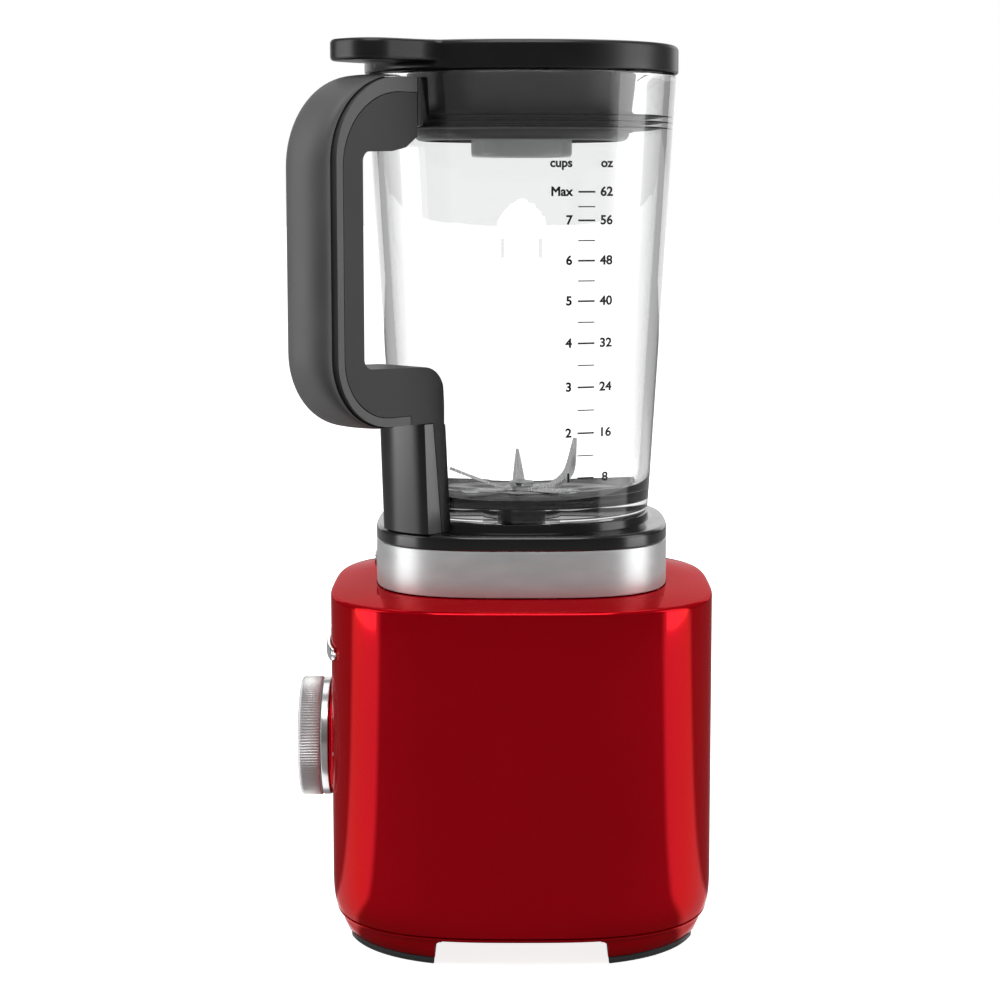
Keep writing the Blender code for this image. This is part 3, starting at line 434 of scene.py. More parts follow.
def underside():
    seam = level("base_bottom") - 6.0
    low = seam - 1.9
    cover = shell("base_cover", [
        (20, low, 2), (84.9, low), (86.6, low + 0.25), (87.6, low + 0.8), (88.0, low + 1.3),
        (88.0, seam - 0.25), (87.6, seam), (84.9, seam), (84.9, seam + 5.8), (83.3, seam + 5.8),
        (83.3, seam + 0.6), (20, seam + 0.6, 2),
    ], RED, SEAM_POWER)
    centre = prism("cover_centre", superellipse(22, 2, 64), low + 0.02, seam + 0.55, RED)
    boolean(cover, centre, "UNION")
    corners = ("front_right", "rear_right", "rear_left", "front_left")
    for index, name in enumerate(corners):
        turn = AXIS @ Matrix.Rotation((index - 1) * math.pi / 2, 4, "Z")
        rings = [
            quarter(84.3, 2.6, 39.5, 0.6), quarter(84.8, 2.6, 39.0, 1.0), quarter(86.0, 2.8, 39.0, low - 3.2),
        ]
        for step in range(1, 7):
            angle = math.radians(90 * step / 6)
            rings.append(quarter(86.0 + 0.15 * step, 2.8 + 0.02 * step, 39.0 - 3.2 * (1 - math.cos(angle)),
                                 low - 3.2 + 3.2 * math.sin(angle)))
        rings.append(quarter(87.1, SEAM_POWER, 35.8, low + 1.1))
        boolean(cover, loft("leg", rings, RED, turn), "UNION")
        pad = loft("foot_" + name + "_pad", [
            quarter(82.6, 2.6, 40.4, -3.0), quarter(83.5, 2.6, 39.8, -2.7), quarter(84.0, 2.6, 39.5, -2.0),
            quarter(84.2, 2.6, 39.5, 0.0), quarter(83.9, 2.6, 39.8, 0.3)], RUBBER, turn)
        piece(pad, "base", "rubber", "foot_" + name)
    for index in range(-4, 5):
        outline = [(9.0 * index + x, y, 1.9) for x, y in ((-2, -26), (2, -26), (2, 26), (-2, 26))]
        slot = prism("slot", rounded(outline, 6), low - 2, seam + 3, RED)
        boolean(cover, slot, "DIFFERENCE")
    for name in corners:
        corner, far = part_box("cover_screw_" + name)
        middle = (corner + far) / 2 - AXIS.translation
        place = AXIS @ Matrix.Translation((middle.x, middle.y, (low + 0.3) * MM))
        hole = turned("hole", [(3.1, -2), (3.1, 6)], RED, place, 32, closed=False)
        boolean(cover, hole, "DIFFERENCE")
        screw = turned("cover_screw_head_" + name, [(2.2, 0.0), (2.6, 0.2), (2.75, 0.7), (2.75, 6)], STEEL,
                       place, 32, closed=False)
        for angle in (0, 90):
            bar = prism("bar", [(-1.7, -0.4), (1.7, -0.4), (1.7, 0.4), (-1.7, 0.4)], -1, 1.2, STEEL,
                        place @ Matrix.Rotation(math.radians(angle), 4, "Z"))
            boolean(screw, bar, "DIFFERENCE")
        piece(screw, "base", "steel", "cover_screw_" + name)
    piece(cover, "base", "red_casing", "base_bottom")


def collar():
    low, top = level("collar", False), level("collar")
    piece(shell("collar_ring", [
        (67.4, low), (67.9, low + 0.3), (COLLAR_HALF, low + 0.8), (COLLAR_HALF, top - 0.4), (67.9, top),
        (67.6, top + 0.2), (65.2, top), (64.7, top - 0.4), (64.7, low),
    ], SATIN, COLLAR_POWER), "base", "satin_metal", "collar")
    inner = 64.3
    well_top = level("seat_well")
    piece(shell("seat_well_liner", [
        (inner, low), (inner, well_top - 0.5), (inner - 0.5, well_top), (inner - 1.5, well_top),
        (inner - 2, well_top - 0.6), (inner - 2.2, low + 6.5), (inner - 4, low + 4.4), (inner - 6, low + 4),
        (34, low + 4, 2), (33.4, low + 5, 2), (24, low + 5, 2), (22.5, low + 4.4, 2), (22, low + 3, 2),
        (22, low, 2),
    ], GLOSS, COLLAR_POWER), "base", "black_gloss", "seat_well")


def along_front(name, half, power, centre_z, width, height, lift, look, steps):
    """A softly rounded bar that follows the front of a rounded square."""
    rows = []
    for step in range(steps + 1):
        part = 2 * step / steps - 1
        x = width / 2 * math.copysign(1 - (1 - abs(part)) ** 1.25, part)
        fade = max(0.02, min(1.0, (width / 2 - abs(x)) / (height * 0.5))) ** 0.5
        y = front_of(half, power, x)
        row = []
        for k in range(16):
            angle = 2 * math.pi * k / 16
            c = math.copysign(abs(math.cos(angle)) ** 0.55, math.cos(angle))
            s = math.copysign(abs(math.sin(angle)) ** 0.55, math.sin(angle))
            out = y + lift * (0.5 + 0.5 * c) + 0.12
            row.append(Vector((x, -out, centre_z + height / 2 * s * fade)) * MM)
        rows.append(row)
    return loft(name, rows, look, AXIS)


def trim():
    for node, name, half, power, lift, steps in (
            ("front_trim_bar", "trim_bar", BASE_HALF, BASE_POWER, 2.1, 60),
            ("collar_badge", "collar_plate", COLLAR_HALF, COLLAR_POWER, 1.1, 30)):
        low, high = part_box(node)
        middle = (low.z + high.z) / 2 / MM - RISE
        bar = along_front(name, half, power, middle, (high.x - low.x) / MM, (high.z - low.z) / MM, lift,
                          CHROME, steps)
        piece(bar, "base", "chrome", node)


def gland():
    place = AXIS @ Matrix.Translation(Vector((0, 0, 27)) * MM) @ Matrix.Rotation(math.radians(-90), 4, "X")
    out = (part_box("cord_gland")[1].y - AXIS.translation.y) / MM
    piece(turned("lead_inlet", [
        (3.6, 77), (6.4, 77), (6.4, out - 0.6), (9.5, out - 0.6), *arc((8.9, out - 0.6), 0.6, 0, 90),
        (6.2, out), (5.4, out - 0.7), (4.6, out - 0.7), (4.2, out), (3.8, out), (3.6, out - 0.3),
    ], GLOSS, place, 64), "base", "black_gloss", "cord_gland")


# ---------------------------------------------------------------- knob

def knob():
    low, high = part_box("knob_grip")
    radius = (high.z - low.z) / MM / 2
    centre = (low.z + high.z) / 2 / MM - RISE
    place = towards_front(centre)
    front = (AXIS.translation.y - low.y) / MM
    back = (AXIS.translation.y - high.y) / MM
    ridges, per = 132, 6
    rings = []
    profile = [
        (10, back, 0), (radius - 0.9, back, 0), (radius - 0.25, back + 0.5, 1), (radius, back + 0.9, 1),
        (radius, front - 1.9, 1), (radius - 0.25, front - 1.0, 1), (radius - 0.9, front - 0.3, 0.6),
        (radius - 1.9, front, 0), (radius - 3.4, front, 0), (radius - 4.2, front - 0.5, 0),
        (radius - 4.8, front - 0.9, 0), (10, front - 0.9, 0), (4, front - 0.88, 0),
    ]
    for reach, height, deep in profile:
        points = []
        for k in range(ridges * per):
            angle = 2 * math.pi * k / (ridges * per)
            wave = 0.5 - 0.5 * math.cos(ridges * angle)
            r = reach - 0.6 * deep * wave
            points.append(Vector((r * math.cos(angle), r * math.sin(angle), height)) * MM)
        rings.append(points)
    piece(loft("knob_knurled_grip", rings, KNURL, place, False, 60), "knob", "satin_metal", "knob_grip")
    outline = rounded([(x, y, 0.85) for x, y in ((-0.9, 13), (0.9, 13), (0.9, 21), (-0.9, 21))], 6)
    mark = prism("knob_pointer", outline, front - 1.1, front - 0.62, GROOVE, place)
    piece(bevel(mark, 0.15, 2), "knob", "satin_metal")
    ring_low, ring_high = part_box("knob_ring")
    near = (AXIS.translation.y - ring_high.y) / MM
    far = (AXIS.translation.y - ring_low.y) / MM
    piece(turned("knob_satin_ring", [
        (4, near), (radius - 1.0, near), *arc((radius - 0.9, near + 0.6), 0.6, 270, 360),
        *arc((radius - 0.8, far - 0.5), 0.5, 0, 90), (radius - 2, far), (4, far),
    ], RING, place, 128), "knob", "chrome", "knob_ring")


def dial():
    """Thirteen pale ticks round the knob, laid on the casing's curved front."""
    low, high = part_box("knob_grip")
    centre = (low.z + high.z) / 2 / MM - RISE
    shapes = []
    for index in range(13):
        angle = math.radians(25.0 * index - 225)
        inner, outer, half = (36.5, 41.0, 0.55) if index % 3 == 0 else (37.5, 40.0, 0.4)
        shapes.append([
            (r * math.cos(angle) - t * math.sin(angle), r * math.sin(angle) + t * math.cos(angle))
            for r, t in ((inner, -half), (outer, -half), (outer, half), (inner, half))])
    shape = bmesh.new()
    for corners in shapes:
        for lift in (0.05, 0.12):
            points = [Vector((x, -(front_of(BASE_HALF, BASE_POWER, x) + lift), centre + z)) * MM
                      for x, z in corners]
            shape.faces.new([shape.verts.new(point) for point in points])
    piece(finished("dial_ticks", shape, AXIS, DIAL_PRINT), "base", "white_plastic")


# ---------------------------------------------------------------- jar

def rib_depth(point, height):
    """How far the single upright rib stands in from the wall opposite the marks."""
    across = abs(point.y / MM)
    top = 336.0 - across ** 2 / 9.0
    if point.x > 0 or across > 11 or height > top:
        return 0.0
    side = min(1.0, max(0.0, (10.5 - across) / 1.8))
    end = min(1.0, (top - height) / 4.0) * min(1.0, max(0.0, (height - 201) / 12))
    return 2.4 * side * side * (3 - 2 * side) * end


def jar():
    floor = JAR_LOW + FLOOR_THICK
    bottom = JAR_LOW
    bore = 14.0
    outer = [(bore, bottom, 2), (30, bottom, 2), (jar_half(bottom) - 4.2, bottom)]
    outer += arc((jar_half(bottom + 4) - 4.2, bottom + 4.2), 4.2, 275, 360, 8)
    for step in range(1, 12):
        height = bottom + 4.2 + (JAR_TOP - 1.2 - bottom - 4.2) * step / 11
        outer.append((jar_half(height), height))
    rim_half = jar_half(JAR_TOP)
    outer += arc((rim_half - 1.2, JAR_TOP - 1.2), 1.2, 15, 90, 5)
    inner = arc((rim_half - JAR_WALL + 1.0, JAR_TOP - 1.0), 1.0, 90, 180, 5)
    for step in range(1, 61):
        height = JAR_TOP - 1.0 - (JAR_TOP - 1.0 - floor - 16) * step / 60
        inner.append((jar_half(height) - JAR_WALL, height))
    wall_foot = jar_half(floor + 12) - JAR_WALL
    inner += arc((wall_foot - 12, floor + 13.5), 12, -4, -78, 10)
    rings = [ring(half, power[0] if power else JAR_POWER, height) for half, height, *power in outer]
    for half, height in inner:
        points = []
        for point in ring(half, JAR_POWER, height):
            points.append(point + Vector((rib_depth(point, height), 0, 0)) * MM)
        rings.append(points)
    last_half, last_height = inner[-1]
    for step in range(1, 19):
        part = step / 18
        half = last_half + (bore - last_half) * part
        height = last_height + (floor - last_height) * min(1, part * 2.2)
        swell = math.sin(math.pi * min(1, part * 1.02)) ** 1.5
        points = []
        for point in ring(half, JAR_POWER + (2 - JAR_POWER) * part, height):
            angle = math.atan2(point.y, point.x)
            wave = 0.7 * swell * (0.5 - 0.5 * math.cos(8 * angle + math.pi / 4))
            points.append(point + Vector((rib_depth(point, height), 0, wave)) * MM)
        rings.append(points)
    piece(loft("clear_jar", rings, CLEAR, AXIS, True, 40), "jar", "clear_plastic", "jar")


def text_mesh(text, size, align, y, z, name):
    curve = bpy.data.curves.new(name, "FONT")
    curve.body = text
    curve.size = size * MM
    curve.align_x = align
    curve.align_y = "CENTER"
    curve.bevel_depth = 0.034 * size * MM
    curve.bevel_resolution = 0
    thing = bpy.data.objects.new(name, curve)
    bpy.context.scene.collection.objects.link(thing)
    bpy.context.view_layer.update()
    mesh = bpy.data.meshes.new_from_object(thing.evaluated_get(bpy.context.evaluated_depsgraph_get()))
    bpy.data.objects.remove(thing)
    points = [Vector((corner.co.x / MM + y, corner.co.y / MM + z)) for corner in mesh.vertices]
    return points, [tuple(face.vertices) for face in mesh.polygons]


def marks():
    """The volume scale printed on the +X wall, each mark laid on the wall's own surface."""
    shape = bmesh.new()

    def lay(points, faces):
        verts = []
        for point in points:
            half = jar_half(point.y)
            reach = front_of(half, JAR_POWER, point.x) + 0.12
            verts.append(shape.verts.new(Vector((reach, point.x, point.y)) * MM))
        for face in faces:
            shape.faces.new([verts[index] for index in face])

    def bar(y0, y1, z, thick):
        points = [Vector((y0 + (y1 - y0) * k / 6, z + side * thick / 2))
                  for side in (-1, 1) for k in range(7)]
        lay(points, [(k, k + 1, k + 8, k + 7) for k in range(6)])

    heights = [215.8, 236.2, 256.9, 276.6, 295.4, 313.3, 331.0, 343.5]
    cups = ["1", "2", "3", "4", "5", "6", "7", "Max"]
    ounces = ["8", "16", "24", "32", "40", "48", "56", "62"]
    for height, cup, ounce in zip(heights, cups, ounces):
        bar(25.0, 32.5, height, 0.8)
        align, across = ("RIGHT", 22.4) if cup == "Max" else ("CENTER", 21.0)
        lay(*text_mesh(cup, 5.6, align, across, height, "cup_mark"))
        lay(*text_mesh(ounce, 5.6, "CENTER", 37.6, height, "ounce_mark"))
    for lower, upper in zip(heights[:-2], heights[1:-1]):
        bar(25.0, 32.5, (lower + upper) / 2, 0.5)
    bar(25.0, 32.5, 337.0, 0.5)
    lay(*text_mesh("cups", 5.4, "CENTER", 17.4, 356.0, "heading"))
    lay(*text_mesh("oz", 5.4, "CENTER", 37.6, 356.0, "heading"))
    made = finished("volume_marks", shape, AXIS, PRINT)
    piece(made, "jar", "black_gloss")


def foot():
    low, top = level("jar_foot", False), FOOT_TOP
    under = level("collar") + GAP
    skirt = 58.5
    seat = JAR_LOW + 0.25
    piece(shell("jar_foot_shell", [
        (skirt - 3, low), (skirt - 0.4, low), (skirt, low + 0.4), (skirt, under), (67.2, under),
        (67.7, under + 0.15), (COLLAR_HALF, under + 0.6), (COLLAR_HALF, top - 2.0),
        *arc((COLLAR_HALF - 2.0, top - 2.0), 2.0, 8, 90, 7),
        (63.0, top, 2.8), (60.6, top, 2.4), (60.0, top + 0.3, JAR_POWER), (59.4, JAR_LOW + 1.0, JAR_POWER),
        (58.8, JAR_LOW + 1.5, JAR_POWER), (57.2, JAR_LOW + 1.2, JAR_POWER), (56.2, seat, JAR_POWER),
        (30, seat, 2), (30, seat - 5, 2), (skirt - 3, seat - 7),
    ], GLOSS, COLLAR_POWER), "jar", "black_gloss", "jar_foot")


def drive_parts():
    floor = JAR_LOW + FLOOR_THICK
    piece(turned("blade_bearing_cap", [
        (4.05, floor + 1.9), (8.6, floor + 1.9), (9.4, floor + 1.8), (10.6, floor + 1.5), (19.4, floor + 1.2),
        (20.7, floor + 0.9), (21.0, floor + 0.35), (13.7, floor + 0.3), (4.05, floor + 0.3),
    ], STEEL), "jar", "steel", "blade_bearing")
    piece(turned("blade_bearing_neck", [(4.05, floor + 0.2), (13.7, floor + 0.2), (13.7, 182), (4.05, 182)],
                 GLOSS), "jar", "black_gloss")
    nut = turned("clamp_nut", [
        (14.0, 190.1), (24.4, 190.1), (25, 189.4), (25, 187), (20.6, 183.2), (19.8, 183), (14.0, 183),
    ], GLOSS)
    piece(nut, "jar", "black_gloss", "blade_clamp_nut")
    low = level("drive_coupling", False)
    cup = turned("base_coupling", [
        (4.3, low), (11, low), (16, low + 1), (16, low + 12.8), (15.4, low + 13.7), (14.6, low + 14),
        (11.2, low + 14), (10.6, low + 13.6), (10.4, low + 6), (4.3, low + 6)], GLOSS)
    for index in range(6):
        tooth = prism("tooth", [(9.0, -1.6), (13, -1.6), (13, 1.6), (9.0, 1.6)], low + 4, low + 13.2, GLOSS,
                      AXIS @ Matrix.Rotation(index * math.pi / 3 + math.pi / 6, 4, "Z"))
        boolean(cup, tooth, "UNION")
    piece(cup, "rotor", "black_gloss", "drive_coupling")


def blade_arm(name, turn, stations, look):
    """One sharpened arm: stations are (out, height, half width, slope) along it."""
    rings = []
    for out, height, half, slope in stations:
        thick = 1.5
        run = Vector((-math.sin(slope), 0, math.cos(slope)))
        base_point = Vector((out, 0, height))
        outline = [(-half, 0.0), (-half * 0.55, 0.0), (half, 0.0), (half, thick), (-half * 0.55, thick),
                   (-half, 0.25)]
        rings.append([(base_point + Vector((0, y, 0)) + run * z) * MM for y, z in outline])
    return loft(name, rings, look, AXIS @ Matrix.Rotation(math.radians(turn), 4, "Z"), False, 25)


def smooth_path(keys):
    """Stations between (out, height, half) keys along a smooth curve."""
    count = 22
    stations = []
    spans = len(keys) - 1
    for step in range(count + 1):
        t = step / count * spans
        index = min(int(t), spans - 1)
        f = t - index
        picks = [keys[max(0, index - 1)], keys[index], keys[index + 1], keys[min(spans, index + 2)]]
        values = []
        for axis in range(3):
            a, b, c, d = (pick[axis] for pick in picks)
            values.append(0.5 * (2 * b + (c - a) * f + (2 * a - 5 * b + 4 * c - d) * f ** 2
                                 + (3 * b - a - 3 * c + d) * f ** 3))
        stations.append(values)
    result = []
    for index, (out, height, half) in enumerate(stations):
        before = stations[max(0, index - 1)]
        after = stations[min(len(stations) - 1, index + 1)]
        slope = math.atan2(after[1] - before[1], after[0] - before[0])
        result.append((out, height, max(half, 0.5), slope))
    return result


def hexagon(radius):
    return [(radius * math.cos(math.pi * k / 3), radius * math.sin(math.pi * k / 3)) for k in range(6)]


def blades():
    z = BLADE_Z
    lower = turned("lower_blade_pair", [(4.3, z), (8.0, z), (8.0, z + 1.5), (4.3, z + 1.5)], BLADE, AXIS, 48)
    for turn, keys in (
            (40, [(5, z, 4.8), (14, z, 4.9), (22, z - 0.1, 4.5), (28, z - 0.2, 3.6), (33, z - 0.4, 1.5)]),
            (186, [(5, z, 4.8), (10, z + 0.3, 4.4), (13, z + 4, 3.2), (15, z + 9, 2.5),
                   (19.5, z + 19.5, 0.7)])):
        boolean(lower, blade_arm("arm", turn, smooth_path(keys), BLADE), "UNION")
    piece(lower, "blades", "steel", "lower_blade")
    top = z + 1.8
    upper = turned("upper_blade_pair", [(4.3, top), (8.0, top), (8.0, top + 1.5), (4.3, top + 1.5)], BLADE,
                   AXIS, 48)
    for turn, keys in (
            (114, [(5, top, 5.0), (13, top + 0.1, 5.2), (18, top + 0.9, 5.3), (23.5, top + 5, 4.8),
                   (26.8, top + 10.5, 4.0), (29.2, top + 24, 0.7)]),
            (290, [(5, top, 5.0), (9, top + 0.1, 5.0), (22, top + 5.7, 3.6), (35.8, top + 11.6, 1.5)])):
        boolean(upper, blade_arm("arm", turn, smooth_path(keys), BLADE), "UNION")
    piece(upper, "blades", "steel", "upper_blade")
    nut = prism("hex_nut", hexagon(6.4), top + 1.8, top + 4.6, CHROME)
    boolean(nut, turned("bore", [(4.2, top), (4.2, top + 9)], CHROME, AXIS, 48, closed=False), "DIFFERENCE")
    bevel(nut, 0.45, 3)
    piece(nut, "blades", "chrome", "blade_nut")
    end = level("blade_spindle")
    spindle = turned("spindle", [(3.95, 173), (3.95, end - 1.2), (3.4, end - 0.4), (2.2, end)], STEEL,
                     AXIS, 48, closed=False)
    piece(spindle, "blades", "steel", "blade_spindle")
    coupling = prism("jar_drive_plug", hexagon(8.8), 168, 181, GLOSS)
    boolean(coupling, turned("bore", [(4.3, 172.6), (4.3, 184)], GLOSS, AXIS, 48, closed=False), "DIFFERENCE")
    bevel(coupling, 0.7, 3)
    piece(coupling, "blades", "black_gloss", "jar_coupling")


# ---------------------------------------------------------------- handle

ARM_TOP = 393.2
LOW_Z = 241.0
GRIP_OUT = 135.2
GROOVE_OUT = 126.0
SEAM_OUT = 122.2
WINDOW_OUT = 111.0
WINDOW_TOP = 361.0
WINDOW_LOW = 267.0
ARM_END = 79.2
BAND_END = 84.0
SEAM_TOP = ARM_TOP - 6.8
SEAM_LOW = LOW_Z + 4.2
POST_SEAM = 70.5
POST_SEAM_LOW = 65.5
HALF = 15.0


def trim_to_jar(thing, low, high):
    rings = [ring(jar_half(height) + GAP, JAR_POWER, height) for height in (low, high)]
    return boolean(thing, loft("tool", rings, SOFT), "DIFFERENCE")


def weigh(thing, chosen):
    weights = thing.data.attributes.new("bevel_weight_edge", "FLOAT", "EDGE")
    points = thing.data.vertices
    for edge in thing.data.edges:
        first, second = (points[index].co / MM for index in edge.vertices)
        if abs(first.y - second.y) < 0.01:
            weights.data[edge.index].value = chosen((first + second) / 2)


def handle_core():
    # The core is laid in the darker painted-shade copy of the handle's black.
    core = prism("handle_inner", rounded([
        (ARM_END, SEAM_TOP, 0), (SEAM_OUT, SEAM_TOP, 33), (SEAM_OUT, SEAM_LOW, 26), (BAND_END, SEAM_LOW, 0),
        (BAND_END, LOW_Z, 0), (POST_SEAM, LOW_Z, 0), (POST_SEAM_LOW, FOOT_TOP + GAP, 0),
        (40, FOOT_TOP + GAP, 0), (40, 240, 0), (64, 240, 0), (64, WINDOW_LOW - 1, 12),
        (WINDOW_OUT, WINDOW_LOW, 4.5), (WINDOW_OUT, WINDOW_TOP, 4.5), (94, WINDOW_TOP, 0),
        (86, WINDOW_TOP + 1.7, 0), (ARM_END, WINDOW_TOP + 6.5, 0),
    ]), -HALF, HALF, CORE_PAINTED_SHADE, HANDLE, upright=True)

    def inside(middle):
        near_window = middle.x < WINDOW_OUT + 1 and WINDOW_LOW - 19 < middle.z < WINDOW_TOP + 20
        return 1.0 if near_window and middle.x > 64.5 else 0.0
    weigh(core, inside)
    bevel(core, 6.0, 8, weighted=True)
    apply_modifiers(core)
    trim_to_jar(core, 180, 270)
    piece(core, "jar", "soft_black", "handle_core")


def handle_band():
    band = prism("handle_side_band", rounded([
        (ARM_END, ARM_TOP, 0), (GROOVE_OUT, ARM_TOP, 37), (GROOVE_OUT, LOW_Z, 30),
        (BAND_END + GAP, LOW_Z, 0.4), (BAND_END + GAP, SEAM_LOW - GAP, 0),
        (SEAM_OUT + GAP, SEAM_LOW - GAP, 26), (SEAM_OUT + GAP, SEAM_TOP + GAP, 33),
        (ARM_END, SEAM_TOP + GAP, 0),
    ], 24), -HALF, HALF, SOFT, HANDLE, upright=True)

    def rim(middle):
        outer = middle.x > GROOVE_OUT - 0.6 or middle.z > ARM_TOP - 0.3 or middle.z < LOW_Z + 0.3
        upper = math.hypot(middle.x - SEAM_OUT + 33, middle.z - SEAM_TOP + 33) < 35 and middle.z > 350
        lower = math.hypot(middle.x - SEAM_OUT + 26, middle.z - SEAM_LOW - 26) < 28 and middle.z < 275
        corner = middle.x > 96 and (middle.z > 355 or middle.z < 272)
        return 1.0 if outer or corner and not (upper or lower) else 0.12
    weigh(band, rim)
    bevel(band, 1.3, 5, weighted=True)
    apply_modifiers(band)
    piece(band, "jar", "soft_black", "handle_band")


def handle_grip():
    """The soft grip and the near-black strip of painted shade in the groove under it, swept round the
    handle's outside.
    """
    inner = rounded([(88, ARM_TOP + GAP, 0), (GROOVE_OUT + GAP, ARM_TOP + GAP, 37.3),
                     (GROOVE_OUT + GAP, LOW_Z - GAP, 30.3), (93, LOW_Z - GAP, 0), (60, 300, 0)], 20)[:-1]
    outer = rounded([(88, ARM_TOP + 1.1, 0), (GRIP_OUT, ARM_TOP + 1.1, 42),
                     (GRIP_OUT, LOW_Z - 1.1, 36), (93, LOW_Z - 1.1, 0), (60, 300, 0)], 20)[:-1]
    section = [(9.6, 0.15), (12.6, 0.16)]
    for step in range(25):
        angle = math.pi * step / 24
        side = math.copysign(abs(math.cos(angle)) ** 0.9, math.cos(angle)) * 13.2
        section.append((side, 0.2 + 0.8 * abs(math.sin(angle)) ** 0.9))
    section += [(-12.6, 0.16), (-9.6, 0.15)]
    # The neck is a near-black strip of painted shade that fills the groove between grip and band.
    neck = [(11.2, 0), (11.2, 0.18), (-11.2, 0.18), (-11.2, 0)]

    def swept(outline):
        return [[Vector((near[0] + (far[0] - near[0]) * rise, side, near[1] + (far[1] - near[1]) * rise)) * MM
                 for side, rise in outline] for near, far in zip(inner, outer)]
    grip = loft("handle_soft_grip", swept(section), SOFT, HANDLE, smooth=50)
    piece(grip, "jar", "soft_black", "handle_grip")
    piece(loft("handle_groove_painted_shade", swept(neck), GROOVE, HANDLE, smooth=50), "jar", "soft_black")


def post_cover():
    rings = []
    for height in (FOOT_TOP + GAP, 200, 216, 230, LOW_Z - 0.4):
        lean = 0.04 * (height - FOOT_TOP)
        part = (height - FOOT_TOP) / (LOW_Z - FOOT_TOP)
        seam_out = POST_SEAM_LOW + (POST_SEAM - POST_SEAM_LOW) * part + 0.4
        outline = [(seam_out, HALF), (seam_out, -HALF)]
        for step in range(25):
            across = 2 * step / 24 - 1
            aside = (HALF - 0.8) * across
            edge = 4.5 * max(0.0, abs(across) - 0.9)
            reach = diagonal_reach(COLLAR_HALF + 0.4, COLLAR_POWER, aside)
            outline.append((reach + lean - edge, aside * (1 + 0.8 / HALF)))
        rings.append([Vector((out, aside, height)) * MM for out, aside in outline])
    piece(loft("post_cover", rings, GLOSS, HANDLE), "jar", "black_gloss", "handle_post")


def jar_flange():
    flange = prism("jar_flange", rounded([
        (ARM_END - 0.3, ARM_TOP, 1.2), (60, ARM_TOP, 0), (60, WINDOW_TOP + 15, 0), (75, WINDOW_TOP + 13.5, 3),
        (ARM_END - 0.3, WINDOW_TOP + 6.8, 1.5),
    ]), -HALF, HALF, GLOSS, HANDLE, upright=True)
    trim_to_jar(flange, 350, 400)
    piece(flange, "jar", "black_gloss", "handle_flange")


# ---------------------------------------------------------------- lid

def lid():
    half = 72.4
    top, plug = level("lid"), level("lid", False)
    rim = LID_RIM
    hole = 25.3
    profile = [(PLUG_HALF - 5, plug)]
    profile += arc((PLUG_HALF - 3.6, plug + 3.6), 3.6, -85, 0, 7)
    profile += [
        (PLUG_HALF, plug + 4), (PLUG_HALF + 3.0, rim - 1.6), (PLUG_HALF + 3.4, rim - 0.8),
        (PLUG_HALF + 4.1, rim - 0.6), (half - 2.2, rim - 0.6), (half - 0.9, rim - 0.3),
    ]
    profile += arc((half - 0.8, rim + 0.5), 0.8, -60, 0, 4)
    profile += [(half, rim + 4), (half, top - 3)]
    profile += arc((half - 2.2, top - 2.2), 2.2, 0, 90, 9)
    profile += [
        (half - 8, top), (56, top), (40, top, 2.1), (hole + 7.0, top, 2), (hole + 6.2, top - 0.3, 2),
        (hole + 5.6, top - 1.0, 2), (hole + 5.2, top - 3.0, 2), (hole, top - 3.0, 2), (hole, plug + 2, 2),
        (hole + 2.2, plug + 2, 2), (hole + 2.2, top - 6, 2), (PLUG_HALF - 3, top - 6),
        (PLUG_HALF - 4.8, plug + 3),
    ]
    body = shell("lid_body", profile, LID)
    outline = rounded([
        (50, -30, 0), (78, -19.5, 26), (109.3, -15.5, 14.5), (109.3, 15.5, 14.5), (78, 19.5, 26), (50, 30, 0),
    ], 14)
    tab = prism("tab", outline, rim + 2.7, top - 0.05, LID, HANDLE)
    apply_modifiers(bevel(tab, 1.8, 5))
    boolean(body, tab, "UNION")
    piece(body, "lid", "black_gloss", "lid")


def seal():
    low = level("lid_seal", False)
    inner = PLUG_HALF + 1.7
    profile = [(inner, low)]
    for index in range(3):
        z = low + 1.2 + 2.6 * index
        face = jar_half(z) - JAR_WALL + 0.04
        profile += [(inner + 0.6, z - 0.5), (face - 0.3, z - 0.1), (face, z + 0.1), (face, z + 0.7),
                    (face - 0.3, z + 0.9), (inner + 0.6, z + 1.3)]
    profile.append((inner, low + 9))
    piece(shell("ribbed_seal", profile, GROOVE), "lid", "rubber", "lid_seal")


def measuring_cap():
    half = 24.8
    top, low = level("measuring_cap"), level("measuring_cap", False)
    cup = turned("measuring_cup", [
        (2, top), (half + 3.6, top), *arc((half + 4.1, top - 0.7), 0.7, 90, 0, 4),
        (half + 4.8, top - 2.2), (half + 4.5, top - 2.4), (half - 0.3, top - 2.4), (half - 1.2, low + 2.0),
        *arc((half - 2.6, low + 1.4), 1.4, 0, -180, 8), (half - 3.4, top - 9), (half - 6.5, top - 6.2),
        (2, top - 6.2),
    ], CLEAR_CAP, AXIS, 96, closed=False)
    piece(cup, "measuring_cap", "clear_plastic", "measuring_cap")


# ---------------------------------------------------------------- hidden pieces

def carry_over():
    """CAD nodes whose shape is right keep it and get their real finish."""
    looks = {
        "lower_bracket": SATIN, "upper_bracket": SATIN, "motor_bolt_left": STEEL, "motor_bolt_right": STEEL,
        "lower_bearing": STEEL, "upper_bearing": STEEL, "motor_shaft": STEEL, "stator": IRON,
        "armature": IRON, "field_winding_front": COPPER, "field_winding_rear": COPPER, "commutator": COPPER,
        "brush_front": CARBON, "brush_rear": CARBON, "brush_holder_front": GLOSS, "brush_holder_rear": GLOSS,
        "control_board": BOARD, "speed_control": WHITE, "cooling_fan": WHITE, "jar_switch": GLOSS,
        "jar_switch_plunger": WHITE, "knob_shaft": STEEL, "blade_seal": RUBBER,
    }
    for name, look in looks.items():
        mesh = frame["nodes"][name].data
        mesh.materials.clear()
        mesh.materials.append(look)


# ---------------------------------------------------------------- setting

